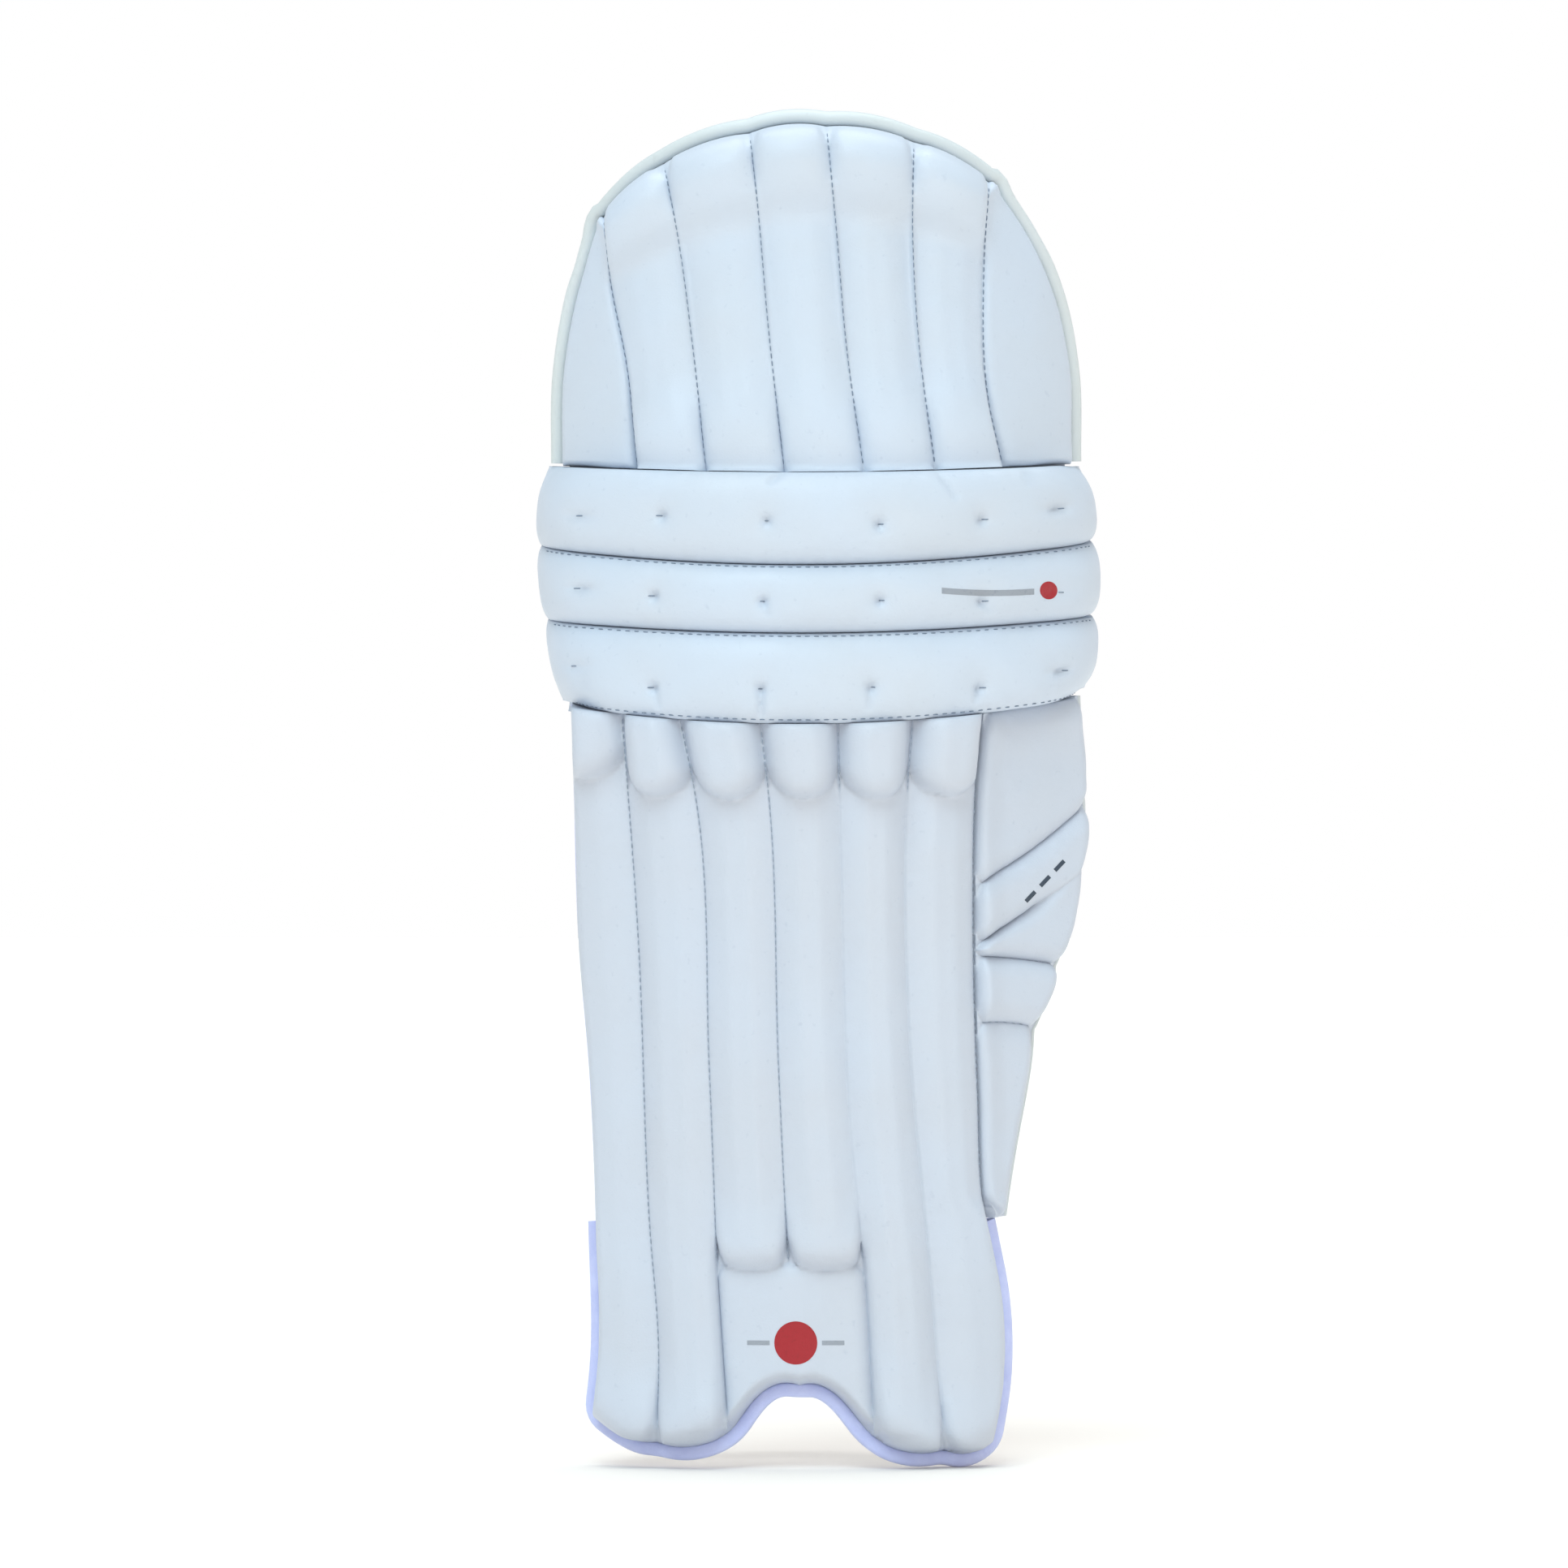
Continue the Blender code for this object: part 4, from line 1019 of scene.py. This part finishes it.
def cast_line(surface, ends):
    """Line for the threads across a tuft, on a finished mesh."""
    found = [seen_from_front(surface, *place) for place in resample(ends, TUFT_LENGTH)]
    return [np.array([spot + normal * lift for spot, normal in found]) for lift in (0.0002, 0.0012)]


def printed_mark(name, surface, middle, half_length, half_height, angle, material, body,
                 round_mark=False, bend=0.0):
    """Thin print on a finished skin: a bar, or a disc; bend curves a bar upwards."""
    across, up = np.meshgrid(np.linspace(-1, 1, 33), np.linspace(-1, 1, 17))
    if round_mark:
        across, up = across * np.sqrt(1 - up ** 2 / 2), up * np.sqrt(1 - across ** 2 / 2)
    along, above = across * half_length, up * half_height + bend * across ** 2
    x = middle[0] + along * math.cos(angle) - above * math.sin(angle)
    height = middle[1] + along * math.sin(angle) + above * math.cos(angle)
    outer, inner = np.zeros((*x.shape, 3)), np.zeros((*x.shape, 3))
    for place in np.ndindex(x.shape):
        spot, normal = seen_from_front(surface, x[place], height[place])
        outer[place] = spot + normal * PRINT_RISE
        inner[place] = spot - normal * PRINT_RISE
    own(grid_solid(name, outer, inner, material), body, "pu_leather")


def make_knee_cushion(number, label, body):
    """Soft cushion behind a roll, hollow in the middle where the kneecap sits."""
    half_width, seam_x = 0.075, 0.028
    u, v = np.meshgrid(spaced(90, 0.6), spaced(30, 0.7))
    x = mix(-half_width, half_width, u)
    low, high = seam_height(number, x) + 0.005, seam_height(number + 1, x) - 0.005
    height, width = mix(low, high, v), high - low
    side = np.minimum(v, 1 - v) * width
    end = np.minimum(u, 1 - u) * 2 * half_width
    cup = 1 - 0.42 * gauss(u - 0.5, 0.17)
    depth = (KNEE_CUSHION - 0.002) * cup * dome(side, end, 0.018, 0.020)
    depth = depth + 0.0004 * soft_noise(x, height, 0.016, 41 + number) * smoothstep(side / 0.008)

    def seam_share(x, height):
        from_seam = np.abs(x) - seam_x
        return 0.30 * (gauss(from_seam, 0.0022) + 0.5 * gauss(from_seam, 0.007))

    cushion = make_cushion(f"knee_cushion_pad_{label}", x, height, 0.001 - KNEE_CUSHION_START,
                           depth, seam_share)
    own(cushion, body, "cushion_fabric", f"knee_cushion_{label}")


# ---------------------------------------------------------------- shin

SHIN = Channels(SHIN_SEAMS)
WAIST = 0.092               # rows are level above this height and follow the foot edge below
WAIST_SHARE = 0.25          # v at that height
# Feet of the batons: bulb length, extra fullness and rounding, of the middle two and of the others
FOOT_BULB = (0.040, 0.052)
FOOT_SWELL = (0.20, 0.16)
FOOT_ROUND = (0.017, 0.022)
MID_HEIGHT = 0.2            # the foot end is below, the knee end above
INSTEP_MARK = (-0.0020, 0.0660)
SHIN_STITCH_STARTS = {2: 0.110, 3: 0.110, 4: 0.110, 6: 0.147}


def foot_line(u):
    """Height of the foot's edge."""
    channel, share = SHIN.split(u)
    crown = np.array(FOOT_CROWNS)[channel] * 4 * share * (1 - share)
    return mix(SHIN.lows[channel], SHIN.lows[channel + 1], share) + crown


def shin_floor(number, height):
    """Offset of the shin's seams at heights; number is an array of the same shape."""
    over_panel = height - MIDDLE_FOOT
    beside_panel = mix(PANEL_FLOOR, SEAM_FLOOR, smoothstep(over_panel / 0.020))
    middle = mix(PANEL_FLOOR, SEAM_FLOOR, smoothstep(over_panel / 0.018))
    fold = mix(SEAM_RISE, FOLD_FLOOR, smoothstep((height - BINDING_TOP) / 0.015))
    floor = mix(SEAM_FLOOR, FINGER_FLOOR, smoothstep((height - FINGER_ENDS[2]) / 0.018))
    low = height < MID_HEIGHT
    floor = np.where(((number == 2) | (number == 4)) & low, beside_panel, floor)
    floor = mix(SEAM_RISE, floor, rounded_rise(height - SHIN.lows[number], 0.013))
    floor = np.where((number == 3) & low, middle, floor)
    return np.where(number == 6, fold, np.where(number == 0, SEAM_RISE, floor))


def shin_seam_x(number, height):
    """x of the shin's seams at heights."""
    return SHIN.seam_x(number, height, shin_floor(number, height))


def wing_start(height):
    """x of the seam between the shin and the wing."""
    return shin_seam_x(np.full(np.shape(height), 6), height)


def shin_place(u, v):
    """Sideways place, height and channel width on the shin."""
    channel, share = SHIN.split(u)
    foot = foot_line(u)
    top = seam_height(0, mix(SHIN_SEAMS[0][-1][1], SHIN_SEAMS[6][-1][1], u / 6))
    for _ in range(3):
        left, right = (shin_seam_x(channel + side, top) for side in (0, 1))
        top = seam_height(0, mix(left, right, share)) - 0.0001
    height = np.where(v < WAIST_SHARE, mix(foot, WAIST, v / WAIST_SHARE),
                      mix(WAIST, top, (v - WAIST_SHARE) / (1 - WAIST_SHARE)))
    left, right = (shin_seam_x(channel + side, height) for side in (0, 1))
    return mix(left, right, share), height, right - left


def finger(channel, share, height, width):
    """Rounded pad that reaches down from the knee over the head of each baton."""
    low = np.array(FINGER_ENDS)[channel]
    middle = low + 0.60 * width
    down = np.clip((middle - height) / (middle - low), 0, 2)
    reach = np.clip(np.hypot(2 * share - 1, down), 0, 1)
    return (1 - reach ** 3.6) ** 0.55


def instep_rise(u, height, foot):
    """Offset of the instep panel, and the distance from the seams at its sides."""
    share = np.clip((u - 2) / 2, 0, 1)
    left, right = (shin_seam_x(np.full(u.shape, seam), height) for seam in (2, 4))
    side = np.minimum(share, 1 - share) * (right - left)
    end = np.maximum(np.minimum(height - foot, INSTEP_TOP - height), 0)
    base = mix(SEAM_RISE, PANEL_FLOOR, smoothstep((height - foot) / 0.009))
    return mix(base, INSTEP_FULL, dome(side, end, 0.008, 0.010)), side


def shin_rise(u, v):
    """Offset of the shin's outer surface and the painted shade beside its seams and baton ends."""
    channel, share = SHIN.split(u)
    x, height, width = shin_place(u, v)
    foot = foot_line(u)
    top_gap = seam_height(0, x) - height
    side = np.minimum(share, 1 - share) * width
    middle = (channel == 2) | (channel == 3)
    round_share = 4 * share * (1 - share)
    stop = np.where(middle, MIDDLE_FOOT + 0.0040 - 0.0050 * round_share, foot)
    above = height - stop
    bulb = smoothstep(1 - above / np.where(middle, *FOOT_BULB))
    section = mix(FACET(share), 1 - 0.10 * (2 * share - 1) ** 2, bulb)
    swell = 1 + np.where(middle, *FOOT_SWELL) * bulb
    tuck = mix(0.90, 1.0, rounded_rise(top_gap, 0.012))
    head = 1.25 * SHIN_HEAD * finger(channel, share, height, width)
    full = SEAM_RISE + (SHIN_BATON * section * swell + head) * tuck
    floor = mix(shin_floor(channel, height), shin_floor(channel + 1, height),
                from_seam_to_seam(share))
    floor = np.where(middle, mix(PANEL_FLOOR, floor, smoothstep(above / 0.018)), floor)
    reach = mix(mix(0.0036, 0.0065, bulb), 0.0050, smoothstep(1 - top_gap / 0.045))
    end_reach = np.where(middle, *FOOT_ROUND)
    baton = mix(floor, full, dome(side, np.maximum(above, 0), reach, end_reach))
    outer = np.where(x < 0, channel, channel + 1)
    outer_floor = np.minimum(shin_floor(outer, height), floor)
    baton = clear_of_edge(baton, x, shin_seam_x(outer, height), outer_floor)

    instep, panel_side = instep_rise(u, height, foot)
    in_panel = middle & (height < INSTEP_TOP) & ((above < 0) | (instep > baton))
    near = np.where(in_panel, np.minimum(panel_side, height - foot), side)
    near = np.minimum(near, np.abs(above))
    dents = 0.00045 * soft_noise(x, height, 0.030, 31) + 0.0002 * soft_noise(x, height, 0.010, 32)
    between = np.where(middle, PANEL_FLOOR, SEAM_RISE)
    offset = np.where(in_panel, instep, np.where(above > 0, baton, between))
    offset = offset + dents * smoothstep(near / 0.007) + pucker(near, height + 0.017 * channel)
    # The second result is painted shade beside the seams, none along the outer edges.
    return offset, np.where(SHIN.rim(channel, share), 0, painted_seam_shade(near))


def make_shin():
    """Everything that rides on the shin, apart from the straps' tabs."""
    rows = np.concatenate((np.linspace(0, WAIST_SHARE, 60)[:-1], np.linspace(WAIST_SHARE, 1, 205)))
    u, v = np.meshgrid(skin_columns(6, 24), rows)
    x, height, _ = shin_place(u, v)
    # fold holds the painted shade beside the seams.
    offset, fold = shin_rise(u, v)
    skin = grid_solid("shin_skin", on_pad(x, height, offset), on_pad(x, height, SKIN_BACK),
                      SHIN_LEATHER_PAINTED_SHADE, fold)
    foam = [f"shin_{kind}_{number}" for kind in ("baton", "head_pad") for number in range(1, 7)]
    own(skin, "shin", "pu_leather", "shin_facing_left", "shin_facing_middle",
        "shin_facing_right", "instep_facing", "instep_pad", *foam)
    make_shin_back()
    make_shin_edges()
    make_shin_stitches()
    surface = BVHTree.FromObject(skin, bpy.context.evaluated_depsgraph_get())
    x, height = INSTEP_MARK
    printed_mark("instep_disc", surface, (x, height), 0.0115, 0.0115, 0.0, RED_INK, "shin",
                 round_mark=True)
    for label, side in (("left", -0.0200), ("right", 0.0200)):
        printed_mark(f"instep_bar_{label}", surface, (x + side, height), 0.0060, 0.0012, 0.0,
                     GREY_INK, "shin")


def make_shin_back():
    """Cloth panel, mesh lining and two cushions behind the shin."""
    u, v = np.meshgrid(np.linspace(0.03, 5.97, 100), np.linspace(0.004, 0.998, 130))
    x, height, _ = shin_place(u, v)
    back = grid_solid("shin_back", on_pad(x, height, CLOTH_FRONT), on_pad(x, height, -BACKING), CLOTH)
    own(back, "shin", "backing_fabric", "shin_backing")

    rim = 0.14
    u, v = np.meshgrid(np.linspace(rim, 6 - rim, 110), np.linspace(0.02, 0.985, 140))
    x, height, _ = shin_place(u, v)
    edge = np.minimum(np.minimum(u - rim, 6 - rim - u) * 0.035, np.minimum(v - 0.02, 0.985 - v) * 0.4)
    puff = 0.0009 * smoothstep(edge / 0.006) + 0.0003 * soft_noise(x, height, 0.02, 51)
    lining = grid_solid("shin_lining_mesh", on_pad(x, height, -BACKING - 0.0002),
                        on_pad(x, height, -LINING_FRONT - puff), MESH)
    own(lining, "shin", "lining_fabric", "shin_lining")
    for label, middle in (("left", -0.034), ("right", 0.034)):
        make_shin_cushion(label, middle)


def make_shin_cushion(label, middle):
    """Upright towelling cushion with sewn cross channels."""
    half_width, low, high, blocks = 0.024, 0.060, 0.375, 5
    u, v = np.meshgrid(spaced(34, 0.7), spaced(190, 0.35))
    x = mix(middle - half_width, middle + half_width, u)
    height = mix(low, high, v)
    side = np.minimum(u, 1 - u) * 2 * half_width
    end = np.minimum(v, 1 - v) * (high - low)
    depth = (SHIN_CUSHION - 0.002) * dome(side, end, 0.018, 0.016)
    depth = depth + 0.0004 * soft_noise(x, height, 0.014, 61) * smoothstep(side / 0.006)

    def seam_share(x, height):
        block = (height - low) / (high - low) * blocks
        from_seam = np.abs(block - np.rint(block)) * (high - low) / blocks
        from_seam = np.where((block > 0.5) & (block < blocks - 0.5), from_seam, high - low)
        return 0.55 * (0.55 * gauss(from_seam, 0.0022) + 0.25 * gauss(from_seam, 0.008))

    cushion = make_cushion(f"shin_cushion_pad_{label}", x, height, -LINING_FRONT - 0.0006, depth,
                           seam_share)
    own(cushion, "shin", "cushion_fabric", f"shin_cushion_{label}")


def side_path(number, low, high, count):
    """(x, height) points up a seam or an outer edge of the shin."""
    heights = np.linspace(low, high, count)
    return np.stack((shin_seam_x(np.full(count, number), heights), heights), axis=-1)


def make_shin_edges():
    """Suede round the foot end and narrow leather edging above it."""
    across = np.linspace(6, 0, 301)
    foot = np.stack(shin_place(across, np.zeros(301))[:2], axis=-1)
    right = side_path(6, SHIN.lows[6], BINDING_TOP, 50)[::-1]
    left = side_path(0, SHIN.lows[0], BINDING_TOP, 50)
    edge = resample(np.concatenate((right[:-1], foot, left[1:])), 0.0022)
    kernel = np.ones(5) / 5
    smooth = np.stack([np.convolve(np.pad(axis, 2, mode="edge"), kernel, "valid")
                       for axis in edge.T], axis=-1)
    smooth[0], smooth[-1] = edge[0], edge[-1]
    binding = edge_tube("foot_edge", smooth, rounded(-0.0006, EDGE_WIDTH, -0.0031, 0.0046, 3.2),
                        SUEDE)
    own(binding, "shin", "binding_suede", "foot_binding")
    trim = rounded(-0.0004, 0.0016, -0.0030, 0.0040)
    top = seam_height(0, SHIN_SEAMS[0][-1][1]) - BODY_GAP
    left_edge = edge_tube("shin_edge_left", side_path(0, BINDING_TOP - 0.002, top, 90), trim, SUEDE)
    own(left_edge, "shin", "binding_suede")


def make_shin_stitches():
    """Rows of stitches down the seams, which start above the foot, the panel and the suede."""
    lines = []
    for seam in range(1, 7):
        low = SHIN_STITCH_STARTS.get(seam, SHIN.lows[seam] + 0.022)
        top = seam_height(0, SHIN_SEAMS[seam][-1][1]) - 0.004
        heights = np.linspace(low, top, 160)
        number = np.full(160, seam)
        lines.append(sheet_line(shin_seam_x(number, heights), heights, shin_floor(number, heights)))
    own(stitches("shin_stitches", lines, PALE_THREAD), "shin", "pu_leather")


# ---------------------------------------------------------------- wing

WING_OUTLINE = smooth_curve(WING_EDGE)
WING_FULL = np.array((0.62, 1.15, 1.10, 1.20, 0.85))    # fullness of its five parts
WING_PUFF = 0.0022          # bulge of the wing's outer edge between two seams
WING_MARK = (0.1325, 0.3125)
WING_MARK_ANGLE = math.radians(46)


def wing_place(u, v):
    """Sideways place and height on the wing; v counts its parts upwards."""
    at_fold, at_edge = (np.interp(v, range(6), heights) for heights in zip(*WING_SEAMS))
    bow = 0.004 * np.sin(np.pi * u) * np.interp(v, range(6), (0, 0.5, 0.3, -1, -1, 0))
    puff = WING_PUFF * np.sqrt(np.abs(np.sin(np.pi * v))) * smoothstep(5 - v) * smoothstep(v)
    x = mix(wing_start(at_fold) + 0.0006, WING_OUTLINE(at_edge) + puff, u)
    return x, mix(at_fold, at_edge, u) + bow


def wing_rise(u, v):
    """Offset of the wing's outer surface and the painted shade beside its inner seams."""
    channel = np.clip(np.floor(v).astype(int), 0, 4)
    share = v - channel
    x, height = wing_place(u, v)
    fold_gap, edge_gap = np.diff(WING_SEAMS, axis=0).T
    width = mix(fold_gap[channel], edge_gap[channel], u)
    side = np.minimum(share, 1 - share) * width
    seam_fades = (channel == 2) & (share > 0.5) | (channel == 3) & (share < 0.5)
    side = side + np.where(seam_fades, 0.012 * ramp(u, 0.45, 0.95), 0)
    breadth = WING_OUTLINE(height) - wing_start(height)
    end = np.minimum(u, 1 - u) * breadth
    reach = np.clip(width * 0.42, 0.005, 0.012)
    puffed = dome(side, end * np.where(u < 0.5, 2.0, 1.0), reach, 0.009)
    bulge = 0.60 * WING_PAD * WING_FULL[channel] * puffed
    dents = 0.0006 * soft_noise(x, height, 0.021, 71) + 0.0003 * soft_noise(x, height, 0.009, 72)
    above_foot = height - WING_SEAMS[0][0] + 0.001
    rim = smoothstep((1 - u) * breadth / 0.012) * rounded_rise(above_foot, 0.010)
    base = mix(FOLD_FLOOR, WING_FLOOR, smoothstep(u * breadth / 0.014))
    offset = mix(SEAM_RISE, base, rim) + bulge + dents * smoothstep(np.minimum(side, end) / 0.005)
    offset = offset + 1.5 * pucker(side, x + 0.3 * channel, 0.0075)
    # The second result is painted shade beside the inner seams.
    return offset, np.where((v > 0.5) & (v < 4.5), 0.7 * painted_seam_shade(side), 0)


def make_wing():
    """Everything that rides on the wing."""
    rows = np.concatenate([channel + spaced(count + 1)[:-1]
                           for channel, count in enumerate((54, 26, 30, 26, 44))] + [[5]])
    u, v = np.meshgrid(spaced(44, 0.6), rows)
    x, height = wing_place(u, v)
    # fold holds the painted shade beside the seams.
    offset, fold = wing_rise(u, v)
    skin = grid_solid("wing_skin", on_wing(x, height, offset), on_wing(x, height, SKIN_BACK),
                      SHIN_LEATHER_PAINTED_SHADE, fold)
    own(skin, "wing", "pu_leather", "wing_facing", *[f"wing_pad_{n}" for n in range(1, 6)])

    u, v = np.meshgrid(np.linspace(0.01, 0.985, 24), np.linspace(0.01, 4.99, 100))
    x, height = wing_place(u, v)
    back = grid_solid("wing_back", on_wing(x, height, CLOTH_FRONT), on_wing(x, height, -BACKING), CLOTH)
    own(back, "wing", "backing_fabric", "wing_backing")

    x, height = wing_place(np.ones(160), np.linspace(0, 5, 160))
    section = rounded(-0.0006, 0.0016, -0.0030, 0.0040)[::-1]
    rings = np.array([on_wing(x + out, height, offset) for out, offset in section])
    own(tube("wing_edge", rings, PIPING), "wing", "piping_leather")

    lines = []
    for seam, last in ((1, 0.93), (2, 0.90)):
        u, v = np.linspace(0.04, last, 80), np.full(80, float(seam))
        lines.append(sheet_line(*wing_place(u, v), wing_rise(u, v)[0], on_wing))
    own(stitches("wing_stitches", lines, PALE_THREAD), "wing", "pu_leather")
    surface = BVHTree.FromObject(skin, bpy.context.evaluated_depsgraph_get())
    step = 0.0115 * np.array((math.cos(WING_MARK_ANGLE), math.sin(WING_MARK_ANGLE)))
    for number in range(1, 4):
        place = np.array(WING_MARK) + (number - 2) * step
        printed_mark(f"wing_bar_{number}", surface, place, 0.0036, 0.0011, WING_MARK_ANGLE,
                     DARK_INK, "wing")


# ---------------------------------------------------------------- soft joints


def knee_gusset(number, name):
    """Strip that joins two pieces of the pad across one knee seam."""
    half, bend = 0.0055, 0.0035
    u, v = np.meshgrid(np.linspace(-0.1240, 0.1440, 120), np.linspace(-1, 1, 9))
    height = seam_height(number, u) + v * half
    front = 0.0016 - 0.0010 * (1 - v ** 2)
    strip = grid_solid(name, on_pad(u, height, front), on_pad(u, height, front - 0.0012), LEATHER)
    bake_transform(strip)


def wing_hinge():
    """Narrow leather strip along the wing's fold."""
    u, height = np.meshgrid(np.linspace(0, 1, 12), np.linspace(0.134, 0.4025, 120))
    x = wing_start(height) + mix(-0.0030, 0.0060, u)
    front = SEAM_RISE - 0.0004 - 0.0012 * np.sin(np.pi * u)
    hinge = grid_solid("wing_hinge", on_pad(x, height, front), on_pad(x, height, front - 0.0022),
                       LEATHER)
    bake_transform(hinge)


# ---------------------------------------------------------------- straps

def smooth_path(points):
    """Smooth function of 0 to 1 through plan points, as x and y."""
    points = np.array(points)
    lengths = np.linalg.norm(np.diff(points, axis=0), axis=1)
    shares = np.concatenate(([0.0], np.cumsum(lengths))) / lengths.sum()
    x_at = smooth_curve(np.stack((shares, points[:, 0]), axis=-1))
    y_at = smooth_curve(np.stack((shares, points[:, 1]), axis=-1))
    return lambda share: np.stack((x_at(share), y_at(share)), axis=-1)


def band(name, path, count, width, height, thickness, material):
    """Flat upright band with rounded edges along a plan path."""
    shares = np.linspace(0, 1, count)
    spots = path(shares)
    along = unit(path(np.minimum(shares + 0.002, 1)) - path(np.maximum(shares - 0.002, 0)))
    right = np.stack((along[:, 1], -along[:, 0]), axis=-1)
    rings = []
    for out, up in rounded(-thickness / 2, thickness / 2, -width / 2, width / 2, 9.0, 40):
        places = spots + right * out
        rings.append(np.column_stack((places, np.full(count, height + up))))
    return tube(name, np.array(rings), material)


def make_strap(label, height, anchor_x, carrier):
    """Strap closed round the leg, with its hook patch, and the tab that it lands on."""
    anchor = on_pad(anchor_x, height, STRAP_OFFSET)[:2]
    tab_root = on_pad(STRAP_TAB_X, height, STRAP_OFFSET)[:2]
    tab_reach = np.linalg.norm(tab_root - anchor) + STAND_OFF
    strap_reach = tab_reach + STRAP_THICKNESS + HOOK_THICKNESS + 2 * EDGE_GAP
    hook_reach = strap_reach - STRAP_THICKNESS / 2 - HOOK_THICKNESS / 2 - EDGE_GAP
    root_angle = math.atan2(tab_root[1] - anchor[1], tab_root[0] - anchor[0])

    def arc(radius, start, end):
        angles = root_angle + np.linspace(start, end, 4)
        return list(anchor + np.stack((np.cos(angles), np.sin(angles)), axis=-1) * radius)

    body = f"{label}_strap"
    tab = band(f"{label}_tab", smooth_path([tab_root] + arc(tab_reach, TAB_START, TAB_END)), 30,
               STRAP_WIDTH, height, STRAP_THICKNESS, LOOP)
    own(tab, carrier, "loop_pile", f"{label}_strap_tab")
    route = [anchor] + [np.array((anchor[0] * share, y)) for share, y in STRAP_ROUTE]
    route += [np.array(place) for place in STRAP_ROUTE_RIGHT]
    path = smooth_path(route + arc(strap_reach, TAB_END + 0.02, STRAP_END))
    strap = band(f"{label}_webbing", path, 160, STRAP_WIDTH, height, STRAP_THICKNESS, STRAP)
    own(strap, body, "strap_webbing", f"{label}_strap")
    hook = band(f"{label}_hook", smooth_path(arc(hook_reach, TAB_END - 0.02, STRAP_END)), 30,
                STRAP_WIDTH - 0.004, height, HOOK_THICKNESS, HOOK)
    own(hook, body, "hook_tape", f"{label}_strap_hook")


# ---------------------------------------------------------------- stage

def make_camera():
    """Long lens, level with the middle of the pad and square on to its front."""
    data = bpy.data.cameras.new("camera")
    data.lens = 250.0
    data.sensor_width = 36.0
    data.clip_end = 50.0
    camera = link("camera", data)
    camera.location = (-0.0083, -5.93, 0.3649)
    camera.rotation_euler = (math.radians(90), 0, 0)
    bpy.context.scene.camera = camera


def add_light(name, kind, strength, color, towards):
    """Light whose rays come from the direction given."""
    data = bpy.data.lights.new(name, kind)
    data.energy = strength
    data.color = color
    light = link(name, data)
    light.rotation_euler = Vector(towards).to_track_quat("Z", "Y").to_euler()
    return light


def make_sky():
    """White studio sky, brightest as a band level with the eye."""
    world = bpy.data.worlds.new("studio")
    world.use_nodes = True
    tree = world.node_tree
    place = tree.nodes.new("ShaderNodeTexCoord")
    split = tree.nodes.new("ShaderNodeSeparateXYZ")
    steep = tree.nodes.new("ShaderNodeMath")
    steep.operation = "ABSOLUTE"
    strength = tree.nodes.new("ShaderNodeMapRange")
    for socket, value in zip(list(strength.inputs)[1:5], (0.10, 0.35, 1.0, 0.48)):
        socket.default_value = value
    tree.links.new(place.outputs["Generated"], split.inputs[0])
    tree.links.new(split.outputs["Z"], steep.inputs[0])
    tree.links.new(steep.outputs[0], strength.inputs["Value"])
    tint = tree.nodes.new("ShaderNodeMix")
    tint.data_type = "RGBA"
    tint.inputs[6].default_value = (0.84, 0.95, 1.0, 1.0)
    tint.inputs[7].default_value = (1.0, 1.0, 1.0, 1.0)
    tree.links.new(strength.outputs["Result"], tint.inputs[0])
    background = tree.nodes["Background"]
    tree.links.new(tint.outputs[2], background.inputs["Color"])
    tree.links.new(strength.outputs["Result"], background.inputs["Strength"])
    bpy.context.scene.world = world


def make_stage():
    level = CAD_BOX[0].z - 0.001
    corners = ((-20, -20, level), (20, -20, level), (20, 20, level), (-20, 20, level))
    white = plain_floor("floor_white", (0.95, 0.885, 0.830))
    floor = link_mesh("floor", np.array(corners), [[0, 1, 2, 3]], white)
    make_sky()
    top = add_light("top", "SUN", 1.52, (0.96, 0.99, 1.0), (0.1, 0.5, 2.0))
    top.data.angle = math.radians(50)
    key = add_light("key", "SUN", 1.56, (0.76, 0.935, 1.0), (-0.45, -2.0, 2.6))
    key.data.angle = math.radians(40)
    place, middle = Vector((0.9, -2.5, 0.1)), Vector((0.0, -0.05, 0.36))
    fill = add_light("fill", "AREA", 13.0, (1.0, 0.84, 0.66), place - middle)
    fill.location = place
    fill.data.shape = "DISK"
    fill.data.size = 2.0
    bpy.context.scene.view_settings.view_transform = "Standard"


make_camera()
make_stage()
make_flap()
for roll in range(len(KNEE_ROLLS)):
    make_roll(roll)
make_shin()
make_wing()
for seam, label in enumerate(("low", "second", "third", "top")):
    knee_gusset(seam, f"gusset_{label}")
wing_hinge()
for strap in STRAPS:
    make_strap(*strap)
